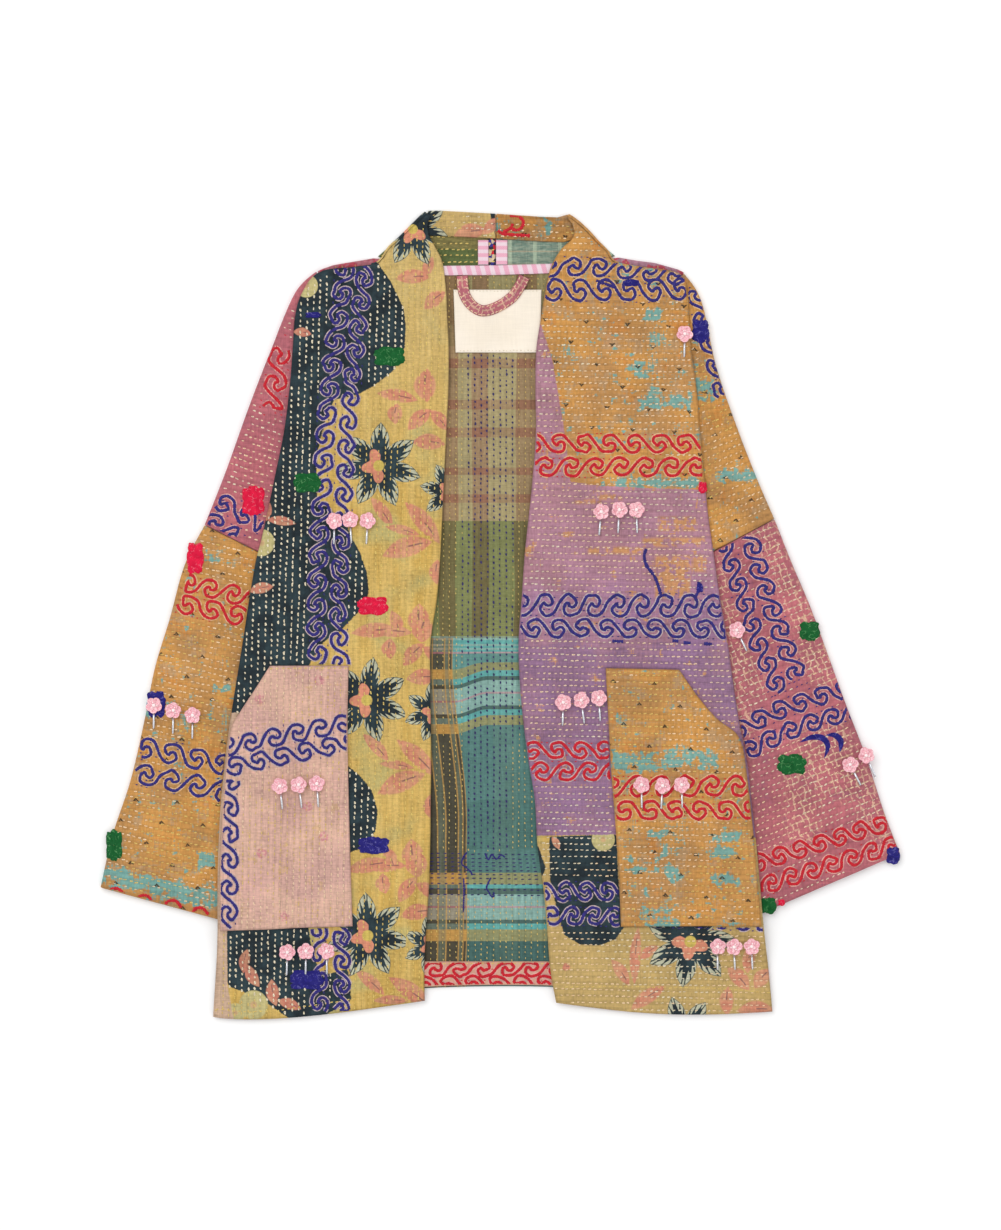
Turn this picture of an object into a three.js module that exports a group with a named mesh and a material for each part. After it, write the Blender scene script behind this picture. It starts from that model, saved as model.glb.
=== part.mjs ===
// A hip-length quilted patchwork jacket with an open front, a collar grown on to the fronts, two
// slant-topped patch pockets and wide two-piece sleeves, laid flat on its back with the arms down.
// Millimetres. +X is the wearer's left (right as seen from above), +Y runs up to the collar and +Z
// points up from the surface that it lies on. The origin is the middle of its outline, on that surface.
import * as THREE from "three";

// Driving sizes.
const quilt = 2.0; // three layers of old cotton, quilted together
const seamGap = 0.3; // left between pieces that are sewn together or lie on each other
const sleeveHeight = 6.6; // a sleeve pressed flat: two walls, a little air and its round folds
const sleeveLap = 4; // how far the body stays up past the sleeve's inner fold
const dropLength = 36; // how far inside that the body comes down to the surface
const ridge = 0.5; // how far the quilting stands out between two rows of stitches
const quiltClear = 0.4; // over the quilting of the piece below
const edgeLift = 1.5; // a front's free edge stands up on its own turned hem
const neckLift = 1.1; // and further up where it crosses the bound neck seam
const hemLift = 1.0; // the double cloth of the fronts' hems
const bodyPuff = 1.1; // air under the middle of each front
const sliver = 4.8; // the back comes over the shoulder by this much to meet the front
const centreBack = -4; // the collar's seam, a little off the middle as it lies

// Colours of the cloth, the way the outside of each piece looks on the whole.
const colours = {
  ochre: 0xc2914f,
  rose: 0xb56570,
  blush: 0xd8ad98,
  yellowPrint: 0xc9b063,
  mauve: 0x9c7390,
  plaid: 0x7f8058,
  gingham: 0xeeb9c8,
  scrollBand: 0xd99c8e,
  cream: 0xf1e4d0,
};

// A table with named columns becomes a list of rows with those names.
function table(names, rows) {
  return rows.map((row) => Object.fromEntries(names.map((n, i) => [n, row[i]])));
}

const lerp = THREE.MathUtils.lerp;

// 0 at from, 1 at to, straight in between; from may be the larger.
function ramp(value, from, to) {
  return THREE.MathUtils.clamp((value - from) / (to - from), 0, 1);
}

// The column "name" of a table where its column "key" has the given value, straight between rows.
function lookUp(rows, key, value, name) {
  const up = rows[rows.length - 1][key] > rows[0][key];
  let i = 0;
  while (i < rows.length - 2 && (up ? value > rows[i + 1][key] : value < rows[i + 1][key])) i++;
  return lerp(rows[i][name], rows[i + 1][name], ramp(value, rows[i][key], rows[i + 1][key]));
}

// Each front from the hem up to the shoulder, then up the grown-on collar to the tip of its fold.
// side is the side seam, armhole, shoulder seam and collar fold; edge is the free front edge.
const frontColumns = ["sideX", "sideY", "edgeX", "edgeY"];
const rightFrontRows = table(frontColumns, [
  [-286.5, -401, -75, -385],
  [-283.5, -353, -75.5, -353],
  [-281.5, -318, -74, -318],
  [-281.5, -275, -71, -275],
  [-280.5, -230, -69.5, -230],
  [-278, -185, -69, -185],
  [-274, -147, -68.5, -147],
  [-269, -107, -69, -107],
  [-262.5, -65, -69.5, -65],
  [-256, -25, -69, -25],
  [-250, 15, -63, 15],
  [-243.5, 53, -60, 53],
  [-238, 75, -58.7, 75],
  [-232.5, 100, -57.6, 100],
  [-223, 145, -55.3, 145],
  [-215, 185, -53.4, 185],
  [-210, 225, -51.5, 225],
  [-206.8, 265, -51.2, 265],
  [-204.5, 297, -52.6, 297],
  [-198, 320, -53.5, 320],
  [-182, 341, -55.5, 341],
  [-153, 346, -57, 350],
  [-124, 351, -58.5, 356],
  [-113, 367, -62, 363],
  [-101, 378, -66.5, 371],
  [-90, 389, -70.5, 379],
  [-81, 398, -72.5, 388],
  [-75, 403, -69.5, 398],
]);
const leftFrontRows = table(frontColumns, [
  [272, -396, 56, -387],
  [268, -353, 50, -353],
  [263.5, -318, 47.3, -318],
  [259.5, -275, 43.5, -275],
  [255.5, -230, 37.3, -230],
  [250.5, -185, 34.7, -185],
  [246.3, -147, 28.5, -147],
  [238.5, -107, 23.3, -107],
  [232, -65, 19.5, -65],
  [226.5, -25, 18.5, -25],
  [219.5, 15, 21.5, 15],
  [214, 53, 24, 53],
  [211, 75, 26, 75],
  [207.5, 100, 28.8, 100],
  [203, 145, 33.3, 145],
  [199.3, 185, 35.8, 185],
  [196, 225, 35.3, 225],
  [190.5, 265, 36.2, 265],
  [188.5, 297, 41, 297],
  [187, 320, 44.5, 320],
  [181, 339, 48.2, 339],
  [149, 346.5, 51.5, 349],
  [117, 351.8, 56, 357.5],
  [108, 364.5, 61, 365],
  [99, 373.5, 66.5, 370.5],
  [90, 383.5, 71.5, 375],
  [81, 392, 74, 382],
  [74, 397.5, 71.5, 390],
  [69, 400.5, 67.8, 395],
]);
const shoulderRow = 20; // in both tables, the row that starts at the shoulder's tip
const neckRow = 22; // and the one that starts where the shoulder meets the collar

// The sleeves' hidden inner line, from the shoulder along the armhole and down the underarm fold.
// Inside it there is only the body; outside it the sleeve lies under the front.
const innerColumns = ["y", "x"];
const rightInner = table(innerColumns, [
  [343, -180],
  [85, -228],
  [55, -225],
  [-315, -240],
]);
const leftInner = table(innerColumns, [
  [342, 180],
  [87, 200],
  [55, 197],
  [-305, 244],
]);

// Where the sleeves lie under the body: both layers are up on them from here to here.
const underarmTop = 75;
const underarmFull = 53;
const cuffFull = -318;
const cuffClear = -353;

// The two sides of the body, as the wearer's right and left.
const right = { rows: rightFrontRows, inner: rightInner, inward: 1 };
const left = { rows: leftFrontRows, inner: leftInner, inward: -1 };

// How far a point is up the slope from the bare body, 0, to the sleeve under it, 1.
function onSleeve(side, x, y) {
  const top = lookUp(side.inner, "y", y, "x") + side.inward * sleeveLap;
  return ramp(x, top + side.inward * dropLength, top);
}

// 1 where the back panel lies on a sleeve, along the jacket's length.
function backLifted(y) {
  return Math.min(ramp(y, underarmTop, underarmFull), ramp(y, cuffClear, cuffFull));
}

// The underside of the back panel.
function backFloor(x, y) {
  const side = x < 0 ? right : left;
  return (sleeveHeight + seamGap) * onSleeve(side, x, y) * backLifted(y);
}

// The underside of a front: clear of the back, and of the sleeve where that is under it.
function frontFloor(side, x, y) {
  const overSleeve = sleeveHeight - quilt + ridge + quiltClear - seamGap;
  const lifted = overSleeve * ramp(y, cuffClear, cuffFull) + (quilt + seamGap) * backLifted(y);
  const body = side.rows.slice(0, shoulderRow + 1);
  const fromEdge = (lookUp(body, "edgeY", y, "edgeX") - x) * side.inward;
  const fromSide = (x - lookUp(body, "sideY", y, "sideX")) * side.inward;
  const edge = ramp(fromEdge, 46, 16) * (edgeLift + neckLift * ramp(y, 322, 338));
  const air = bodyPuff * ramp(fromSide, 30, 90) * ramp(y, -370, -300) * ramp(y, 330, 250);
  return quilt + seamGap + onSleeve(side, x, y) * lifted + edge + air + hemLift * ramp(y, -325, cuffClear);
}

// The height of a front's top face without its quilting.
function frontTop(side, x, y) {
  return frontFloor(side, x, y) + quilt;
}

// A closed wall of cloth over a grid of points. point(i, j) is on its inner face, and the outer face
// stands off from it along the surface by the wall and by relief(i, j). around closes the grid on itself.
function clothWall({ columns, rows, point, wall = quilt, relief = () => 0, around = false, flip = false }) {
  const across = around ? columns : columns + 1;
  const inner = [];
  for (let j = 0; j <= rows; j++) for (let i = 0; i < across; i++) inner.push(point(i, j));
  const wrap = (i) => (around ? (i + across) % across : THREE.MathUtils.clamp(i, 0, columns));
  const at = (i, j) => inner[j * across + wrap(i)];
  const outer = inner.map((p, k) => {
    const i = k % across;
    const j = Math.floor(k / across);
    const along = new THREE.Vector3().subVectors(at(i + 1, j), at(i - 1, j));
    const up = new THREE.Vector3().subVectors(at(i, Math.min(j + 1, rows)), at(i, Math.max(j - 1, 0)));
    const out = along.cross(up).normalize().multiplyScalar(flip ? -1 : 1);
    return p.clone().addScaledVector(out, wall + relief(i, j));
  });
  const positions = [...inner, ...outer].flatMap((p) => [p.x, p.y, p.z]);
  const index = [];
  const face = (a, b, c, d) => index.push(...(flip ? [b, a, d, b, d, c] : [a, b, c, a, c, d]));
  const count = inner.length;
  const id = (i, j, shell) => shell * count + j * across + (i % across);
  for (let j = 0; j < rows; j++) {
    for (let i = 0; i < columns; i++) {
      face(id(i, j, 1), id(i + 1, j, 1), id(i + 1, j + 1, 1), id(i, j + 1, 1));
      face(id(i, j, 0), id(i, j + 1, 0), id(i + 1, j + 1, 0), id(i + 1, j, 0));
    }
    if (!around) {
      face(id(0, j, 0), id(0, j, 1), id(0, j + 1, 1), id(0, j + 1, 0));
      face(id(columns, j, 0), id(columns, j + 1, 0), id(columns, j + 1, 1), id(columns, j, 1));
    }
  }
  for (let i = 0; i < columns; i++) {
    face(id(i, 0, 0), id(i + 1, 0, 0), id(i + 1, 0, 1), id(i, 0, 1));
    face(id(i, rows, 0), id(i, rows, 1), id(i + 1, rows, 1), id(i + 1, rows, 0));
  }
  const geometry = new THREE.BufferGeometry();
  geometry.setAttribute("position", new THREE.Float32BufferAttribute(positions, 3));
  geometry.setIndex(index);
  geometry.computeVertexNormals();
  return geometry;
}

const jacket = new THREE.Group();

// One sewn piece, in its own named mesh.
function piece(name, colour, geometry) {
  const material = new THREE.MeshStandardMaterial({ color: colour, roughness: 0.9, metalness: 0 });
  const mesh = new THREE.Mesh(geometry, material);
  mesh.name = name;
  jacket.add(mesh);
}

// Fractions along a table that stop at each of its rows, with so many equal steps from row to row.
function rowStops(rows, steps) {
  const stops = [];
  for (let i = 0; i < rows.length - 1; i++) {
    for (let k = 0; k < steps(i); k++) stops.push(i + k / steps(i));
  }
  stops.push(rows.length - 1);
  return stops;
}

// A table's row at a fraction such as 3.5, straight between its rows.
function rowAt(rows, stop) {
  const i = Math.min(Math.floor(stop), rows.length - 2);
  const names = Object.keys(rows[0]);
  return Object.fromEntries(names.map((n) => [n, lerp(rows[i][n], rows[i + 1][n], stop - i)]));
}

// Columns that keep a line on the top and on the foot of the slope beside the sleeve, so that pieces
// lying on each other have the same creases. It gives how far across the piece, 0 to 1, each one is.
function creasedColumns(side, fromX, toX, y, counts) {
  const width = (toX - fromX) * side.inward;
  const top = (lookUp(side.inner, "y", y, "x") - fromX) * side.inward + sleeveLap;
  const least = width * 0.03;
  const first = THREE.MathUtils.clamp(top, least, width - 3 * least);
  const second = THREE.MathUtils.clamp(top + dropLength, first + least, width - least);
  const marks = [0, first / width, second / width, 1];
  const places = [];
  counts.forEach((n, part) => {
    for (let k = 0; k < n; k++) places.push(lerp(marks[part], marks[part + 1], k / n));
  });
  return [...places, 1];
}

// The collar's fold holds the front up off the turned top of the collar under it.
const turnLift = 2.6;

function makeFront(name, colour, side, counts, steps, ridgeOn) {
  const columns = counts.reduce((a, b) => a + b, 0);
  const stops = rowStops(side.rows, steps);
  const last = side.rows.length - 1;
  const point = (i, j) => {
    const row = rowAt(side.rows, stops[j]);
    const places = creasedColumns(side, row.sideX, row.edgeX, (row.sideY + row.edgeY) / 2, counts);
    const u = places[i];
    const x = lerp(row.sideX, row.edgeX, u);
    const hemSag = -7 * ramp(stops[j], 1, 0) * Math.sin(Math.PI * Math.pow(u, side === right ? 0.7 : 1));
    const y = lerp(row.sideY, row.edgeY, u) + hemSag;
    const fold = turnLift * Math.max(ramp(u, 0, 0.4), ramp(stops[j], neckRow, last));
    const bare = frontFloor(side, x, Math.min(y, 338));
    const z = lerp(bare, quilt + seamGap + fold, ramp(stops[j], shoulderRow, neckRow));
    return new THREE.Vector3(x, y, Math.max(z, quilt + seamGap));
  };
  const fade = (j) => ramp(stops[j], last - 1, neckRow);
  const inside = (i, j) => i > 0 && i < columns && j > 0 && j < stops.length - 1;
  const relief = (i, j) => (inside(i, j) ? ridge * fade(j) * ridgeOn(i, j) : 0);
  const flip = side === left;
  piece(name, colour, clothWall({ columns, rows: stops.length - 1, point, relief, flip }));
}

// The wearer's right front is quilted up and down, the left one across.
makeFront("right_front", colours.yellowPrint, right, [4, 4, 18], () => 1, (i) => i % 2);
const leftSteps = (i) => (i === 1 || i >= neckRow ? 1 : 2);
makeFront("left_front", colours.ochre, left, [3, 3, 7], leftSteps, (i, j) => j % 2);

// The back panel, from the hem up. Above the underarm its sides meet the ends of the sleeves.
const backRows = table(["leftX", "leftY", "rightX", "rightY", "rise"], [
  [-284, -397, 270, -393, 24],
  [-281.5, -353, 266, -353, 6],
  [-279.5, -318, 261.5, -318, 0],
  [-279.5, -275, 257.5, -275, 0],
  [-278.5, -230, 253.5, -230, 0],
  [-276, -185, 248.5, -185, 0],
  [-272, -147, 244.3, -147, 0],
  [-267, -107, 236.5, -107, 0],
  [-260.5, -65, 230, -65, 0],
  [-254, -25, 224.5, -25, 0],
  [-248, 15, 217.5, 15, 0],
  [-246, 35, 215, 35, 0],
  [-222, 53, 194, 53, 0],
  [-219, 75, 190, 75, 0],
  [-223.5, 85, 196, 85, 0],
  [-215, 145, 194, 145, 0],
  [-208.6, 185, 191.5, 185, 0],
  [-201.2, 225, 188.4, 225, 0],
  [-193.7, 265, 185.2, 265, 0],
  [-187.8, 297, 182.7, 297, 0],
  [-181, 325, 180, 325, 0],
]);

// The top of the back: over one shoulder, round the neck and over the other shoulder.
const backTop = table(["x", "y"], [
  [-178.5, 345.5],
  [-166, 350],
  [-124, 357],
  [-100, 349.5],
  [-57, 344],
  [centreBack, 344.4],
  [49, 346],
  [92, 351],
  [117, 357.6],
  [137, 354.3],
  [155, 352],
  [180, 344.5],
]);
const neckLeft = -124;
const neckRight = 117;

function makeBack() {
  const marks = [0, 0.5, 1]; // from each side to the top of the slope
  const slope = [0.33, 0.67, 1];
  const middle = 10;
  const columns = 2 * (marks.length - 1) + 2 * slope.length + middle;
  const stops = [...rowStops(backRows, () => 1), backRows.length, backRows.length + 1];
  const xAt = (i, row) => {
    const y = (row.leftY + row.rightY) / 2;
    const outerLeft = row.leftX;
    const outerRight = row.rightX;
    const topLeft = Math.max(lookUp(rightInner, "y", y, "x") + sleeveLap, outerLeft + 2);
    const topRight = Math.min(lookUp(leftInner, "y", y, "x") - sleeveLap, outerRight - 2);
    const footLeft = topLeft + dropLength;
    const footRight = topRight - dropLength;
    const line = [
      ...marks.map((m) => lerp(outerLeft, topLeft, m)),
      ...slope.map((s) => topLeft + dropLength * s),
      ...Array.from({ length: middle }, (_, k) => lerp(footLeft, footRight, (k + 1) / middle)),
      ...slope.map((s) => topRight - dropLength * (1 - s)),
      ...marks.slice(1).map((m) => lerp(topRight, outerRight, m)),
    ];
    return line[i];
  };
  const point = (i, j) => {
    const row = backRows[Math.min(j, backRows.length - 1)];
    const x = xAt(i, row);
    const share = (x - row.leftX) / (row.rightX - row.leftX);
    const bow = row.rise * 4 * share * (1 - share);
    let y = lerp(row.leftY, row.rightY, share) + bow;
    const past = stops[j] - (backRows.length - 1);
    const shoulder = Math.max(ramp(x, neckLeft - 4, neckLeft - 12), ramp(x, neckRight + 4, neckRight + 12));
    if (past > 0) y = lookUp(backTop, "x", x, "y") - (past === 1 ? sliver : 0);
    const z = past === 2 ? 1.8 * shoulder : backFloor(x, row.leftY);
    return new THREE.Vector3(x, y, z);
  };
  piece("back_panel", colours.plaid, clothWall({ columns, rows: stops.length - 1, point }));
}
makeBack();

// A flat or gently rising piece between two lines of points, each given from 0 to 1.
function makeStrip(name, colour, { columns, rows, lower, upper, floor, wall }) {
  const point = (i, j) => {
    const [u, v] = [i / columns, j / rows];
    const a = lower(u);
    const b = upper(u);
    const x = lerp(a.x, b.x, v);
    const y = lerp(a.y, b.y, v);
    return new THREE.Vector3(x, y, floor(x, y));
  };
  piece(name, colour, clothWall({ columns, rows, point, wall }));
}

// The back's hem is turned up to the inside, and shows between the fronts.
const turnWall = 1.6;
const hemTurn = { from: -90, to: 66, top: -346, below: 1.5 };
function hemY(x) {
  const row = backRows[0];
  const share = (x - row.leftX) / (row.rightX - row.leftX);
  return lerp(row.leftY, row.rightY, share) + row.rise * 4 * share * (1 - share);
}
makeStrip("back_hem_turn", colours.scrollBand, {
  columns: 12,
  rows: 2,
  lower: (u) => {
    const x = lerp(hemTurn.from, hemTurn.to, u);
    return { x, y: hemY(x) + hemTurn.below };
  },
  upper: (u) => ({ x: lerp(hemTurn.from, hemTurn.to, u), y: hemTurn.top }),
  floor: () => quilt + seamGap,
  wall: turnWall,
});

// The stretches of the collar behind the neck, inside up, from each fold to the seam at centre back.
const collarTop = table(["x", "y"], [
  [-130, 404],
  [-60, 404],
  [-30, 402.4],
  [centreBack, 401],
  [40, 398],
  [58, 397.4],
  [67, 400],
  [125, 400],
]);
const collarPieces = {
  right: { neckX: -122, tipX: -73, seam: centreBack - seamGap / 2 },
  left: { neckX: 115, tipX: 68, seam: centreBack + seamGap / 2 },
};
const foldGap = 1.6; // the neck seam opens a little where it turns under the fold
for (const [hand, c] of Object.entries(collarPieces)) {
  const rows = 4;
  const columns = 10;
  const point = (i, j) => {
    const v = j / rows;
    const u = i / columns;
    const foldX = lerp(c.neckX, c.tipX, v);
    const x = hand === "right" ? lerp(foldX, c.seam, u) : lerp(c.seam, foldX, u);
    const neckGap = seamGap + foldGap * ramp(Math.abs(x), 36, 60);
    const y = lerp(lookUp(backTop, "x", x, "y") + neckGap, lookUp(collarTop, "x", x, "y"), v);
    return new THREE.Vector3(x, y, 0);
  };
  piece(`${hand}_collar_back`, colours.plaid, clothWall({ columns, rows, point }));
}

// The collar's top edge is turned down to the inside.
const turnDepth = 25;
const collarTurns = {
  right: { from: -72, to: centreBack - seamGap / 2, lean: -6 },
  left: { from: centreBack + seamGap / 2, to: 70, lean: 8 },
};
for (const [hand, t] of Object.entries(collarTurns)) {
  const along = (u, lean) => {
    const outer = hand === "right" ? 1 - u : u;
    return lerp(t.from, t.to, u) + lean * outer;
  };
  makeStrip(`${hand}_collar_turn`, hand === "right" ? colours.yellowPrint : colours.ochre, {
    columns: 8,
    rows: 2,
    lower: (u) => ({ x: along(u, t.lean), y: lookUp(collarTop, "x", along(u, 0), "y") - turnDepth }),
    upper: (u) => ({ x: along(u, 0), y: lookUp(collarTop, "x", along(u, 0), "y") - 0.5 }),
    floor: () => quilt + seamGap,
    wall: turnWall,
  });
}

// Gingham: a binding along the neck seam, and a tape on each side of the collar's seam.
const bindingWidth = 9.5;
const bindingFrom = -70;
const bindingTo = 62;
makeStrip("neck_binding", colours.gingham, {
  columns: 12,
  rows: 2,
  lower: (u) => {
    const x = lerp(bindingFrom, bindingTo, u);
    return { x, y: lookUp(backTop, "x", x, "y") - bindingWidth / 2 };
  },
  upper: (u) => {
    const x = lerp(bindingFrom, bindingTo, u);
    return { x, y: lookUp(backTop, "x", x, "y") + bindingWidth / 2 };
  },
  floor: () => quilt + seamGap,
  wall: 2,
});
const tapeWall = 1;
const tapeTop = 374.6;
const tapeFoot = 349.8;
const tapes = { right_seam_tape: [-22, -11.5], left_seam_tape: [-4, 7.5] };
for (const [name, [fromX, toX]] of Object.entries(tapes)) {
  makeStrip(name, colours.gingham, {
    columns: 2,
    rows: 3,
    lower: (u) => ({ x: lerp(fromX, toX, u), y: tapeFoot }),
    upper: (u) => ({ x: lerp(fromX, toX, u), y: tapeTop }),
    floor: () => quilt + seamGap,
    wall: tapeWall,
  });
}

// The plain label, sewn flat to the back inside.
makeStrip("neck_label", colours.cream, {
  columns: 4,
  rows: 3,
  lower: (u) => ({ x: lerp(-44.5, 40.5, u), y: 262 }),
  upper: (u) => ({ x: lerp(-46.5, 41.5, u), y: lerp(324.5, 325, u) }),
  floor: () => quilt + seamGap,
  wall: tapeWall,
});

// The hanging loop: a soft tube of the rose cloth, from under the binding and over the label.
const loopWidth = 11;
const loopWall = 2.2;
const loopPath = new THREE.CatmullRomCurve3(
  table(["x", "y"], [
    [-37.7, 338.8],
    [-36.3, 323],
    [-30.5, 311.6],
    [-21.6, 304.8],
    [-12.8, 304],
    [-0.2, 308.8],
    [12.3, 317.7],
    [20.2, 329],
    [24, 337.3],
  ]).map((p) => new THREE.Vector3(p.x, p.y, 0)),
);
function makeLoop() {
  const rows = 18;
  const columns = 3;
  const point = (i, j) => {
    const t = j / rows;
    const p = loopPath.getPoint(t);
    const along = loopPath.getTangent(t);
    const aside = new THREE.Vector3(-along.y, along.x, 0).multiplyScalar(loopWidth * (0.5 - i / columns));
    p.add(aside);
    const overLabel = tapeWall + seamGap;
    p.z = quilt + seamGap + overLabel * ramp(Math.min(t, 1 - t), 0.02, 0.12);
    return p;
  };
  piece("hanging_loop", colours.rose, clothWall({ columns, rows, point, wall: loopWall }));
}
makeLoop();

// The pockets lie on the fronts. Their slanted tops are open, and their outer sides are in the side seams.
const pocketColumns = ["outerX", "outerY", "innerX", "innerY"];
const rightPocketRows = table(pocketColumns, [
  [-278.5, -314.5, -147, -310.5],
  [-279, -265, -148.5, -265],
  [-277, -215, -150, -215],
  [-274, -165, -151.2, -165],
  [-268, -115, -152, -115],
  [-259, -97, -152, -97],
  [-244, -74, -151.5, -74],
  [-229, -50.5, -151, -50.5],
]);
const leftPocketRows = table(pocketColumns, [
  [260.5, -310, 120.6, -311],
  [256.5, -265, 118.7, -265],
  [252, -215, 115.5, -215],
  [246.5, -165, 111.5, -165],
  [238.5, -123, 109, -123],
  [216, -103, 108, -103],
  [198, -82, 106.8, -82],
  [179, -54.5, 105.3, -52.7],
]);
function makePocket(name, colour, side, rows, ridgeOn) {
  const counts = [3, 3, 6];
  const columns = 12;
  const stops = rowStops(rows, (i) => (i < 4 ? 2 : 1));
  const point = (i, j) => {
    const row = rowAt(rows, stops[j]);
    const places = creasedColumns(side, row.outerX, row.innerX, (row.outerY + row.innerY) / 2, counts);
    const x = lerp(row.outerX, row.innerX, places[i]);
    const y = lerp(row.outerY, row.innerY, places[i]);
    return new THREE.Vector3(x, y, frontTop(side, x, y) + ridge + quiltClear);
  };
  const inside = (i, j) => i > 0 && i < columns && j > 0 && j < stops.length - 1;
  const relief = (i, j) => (inside(i, j) ? ridge * ridgeOn(i, j) : 0);
  piece(name, colour, clothWall({ columns, rows: stops.length - 1, point, relief, flip: side === left }));
}
makePocket("right_pocket", colours.blush, right, rightPocketRows, (i) => i % 2);
makePocket("left_pocket", colours.ochre, left, leftPocketRows, (i, j) => j % 2);

// Each sleeve as sections from its outer fold to its inner fold: from the armhole to the join in
// the middle of the arm, and from there to the cuff.
const sleeveColumns = ["outX", "outY", "inX", "inY"];
const sleeves = {
  right_sleeve_upper: {
    colour: colours.rose,
    flip: false,
    rows: table(sleeveColumns, [
      [-182, 343.5, -228, 85],
      [-203, 322, -227, 79],
      [-228, 263, -226.5, 73],
      [-250, 207, -226, 67],
      [-272, 147, -225.5, 61],
      [-295, 90, -225, 55],
    ]),
  },
  right_sleeve_lower: {
    colour: colours.ochre,
    flip: false,
    rows: table(sleeveColumns, [
      [-295.1, 89.7, -225.1, 54.7],
      [-315, 50, -225.5, 20],
      [-330, -4, -227.5, -35],
      [-344.5, -52, -230, -88],
      [-355.5, -107, -232.5, -145],
      [-369, -165, -235, -200],
      [-387, -220, -237.5, -258],
      [-399, -272, -240, -315],
    ]),
  },
  left_sleeve_upper: {
    colour: colours.ochre,
    flip: true,
    rows: table(sleeveColumns, [
      [182, 342, 200, 87],
      [199, 315, 199.5, 80.5],
      [214, 250, 199, 74],
      [236, 187, 198.3, 67.5],
      [256, 137, 197.7, 61],
      [274, 96, 197, 55],
    ]),
  },
  left_sleeve_lower: {
    colour: colours.rose,
    flip: true,
    rows: table(sleeveColumns, [
      [274.1, 95.7, 197.1, 54.7],
      [291, 53, 200, 22],
      [310, 8, 207, -28],
      [327, -38, 214, -82],
      [345, -88, 221.5, -140],
      [365, -140, 229, -196],
      [384, -198, 237, -251],
      [399.5, -238, 244, -305],
    ]),
  },
};

// A flat tube's section: along the under wall, round one fold, back along the upper wall, round the other.
const wallSteps = 6;
const foldSteps = 3;
function flatTubeSection() {
  const spots = [];
  for (let k = 0; k < wallSteps; k++) spots.push({ across: k / wallSteps, turn: -0.5, fold: 0 });
  for (let k = 0; k < foldSteps; k++) spots.push({ across: 1, turn: k / foldSteps - 0.5, fold: 1 });
  for (let k = 0; k < wallSteps; k++) spots.push({ across: 1 - k / wallSteps, turn: 0.5, fold: 0 });
  for (let k = 0; k < foldSteps; k++) spots.push({ across: 0, turn: 0.5 + k / foldSteps, fold: 1 });
  return spots;
}

function makeSleeve(name, { colour, rows, flip }) {
  const spots = flatTubeSection();
  const stops = rowStops(rows, () => 2);
  const fold = sleeveHeight / 2 - quilt; // the inner face's radius in a fold
  const point = (i, j) => {
    const row = rowAt(rows, stops[j]);
    const across = new THREE.Vector3(row.inX - row.outX, row.inY - row.outY, 0);
    const width = across.length();
    across.normalize();
    const spot = spots[i % spots.length];
    const angle = Math.PI * spot.turn;
    const inset = quilt + fold;
    const reach = lerp(inset, width - inset, spot.across) + Math.cos(angle) * fold;
    const z = sleeveHeight / 2 + Math.sin(angle) * fold;
    return new THREE.Vector3(row.outX, row.outY, z).addScaledVector(across, reach);
  };
  const relief = (i, j) => {
    const onTop = spots[i % spots.length].turn === 0.5 && i % spots.length > wallSteps + foldSteps;
    const visible = spots[i % spots.length].across < 0.5;
    return onTop && visible && j > 0 && j < stops.length - 1 ? ridge * (j % 2) : 0;
  };
  const [columns, lastRow] = [spots.length, stops.length - 1];
  piece(name, colour, clothWall({ columns, rows: lastRow, point, relief, around: true, flip }));
}
for (const [name, sleeve] of Object.entries(sleeves)) makeSleeve(name, sleeve);

export default jacket;
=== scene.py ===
# A quilted patchwork jacket with small sequin flowers, laid flat on its back and seen from straight above.
# Tables are in millimetres: +X towards the wearer's left, +Y towards the collar. Blender works in metres.
import math
import bpy
import numpy as np
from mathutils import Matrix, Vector
from mathutils.bvhtree import BVHTree


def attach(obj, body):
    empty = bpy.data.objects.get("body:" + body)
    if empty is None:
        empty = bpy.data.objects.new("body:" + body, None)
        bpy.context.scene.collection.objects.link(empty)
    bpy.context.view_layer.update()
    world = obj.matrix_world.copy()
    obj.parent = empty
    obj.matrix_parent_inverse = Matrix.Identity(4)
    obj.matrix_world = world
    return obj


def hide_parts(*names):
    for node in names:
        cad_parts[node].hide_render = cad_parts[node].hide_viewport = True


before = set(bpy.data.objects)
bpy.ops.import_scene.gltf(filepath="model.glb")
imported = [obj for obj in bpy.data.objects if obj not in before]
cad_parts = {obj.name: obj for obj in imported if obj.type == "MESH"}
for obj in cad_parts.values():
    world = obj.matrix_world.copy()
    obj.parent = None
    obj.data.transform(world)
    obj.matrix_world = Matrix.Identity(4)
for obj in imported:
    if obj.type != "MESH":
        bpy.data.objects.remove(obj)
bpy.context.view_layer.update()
rng = np.random.default_rng(11)
print("frame loaded")

# Trims are listed by their place in a picture in which one unit is one millimetre.
picture = {"middleX": 500.0, "middleY": 615.0}


def spots(points):
    points = np.asarray(points, float)
    return np.stack([points[:, 0] - picture["middleX"], picture["middleY"] - points[:, 1]], 1)


def ramp(value, start, end):
    return np.clip((np.asarray(value, float) - start) / (end - start), 0, 1)


def soft(value, start, end):
    t = ramp(value, start, end)
    return t * t * (3 - 2 * t)


def mix(a, b, t):
    return a + (b - a) * t


# A smooth curve through the rows of a table, at fractions such as 3.5.
def alongTable(rows, stops):
    rows = np.asarray(rows, float)
    stops = np.asarray(stops, float)
    last = len(rows) - 1
    i = np.clip(stops.astype(int), 0, last - 1)
    t = (stops - i)[:, None]
    before, start, end, after = (rows[np.clip(i + k, 0, last)] for k in (-1, 0, 1, 2))
    bend = (2 * before - 5 * start + 4 * end - after) * t**2 + (3 * start - before - 3 * end + after) * t**3
    return 0.5 * (2 * start + (end - before) * t + bend)


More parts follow.
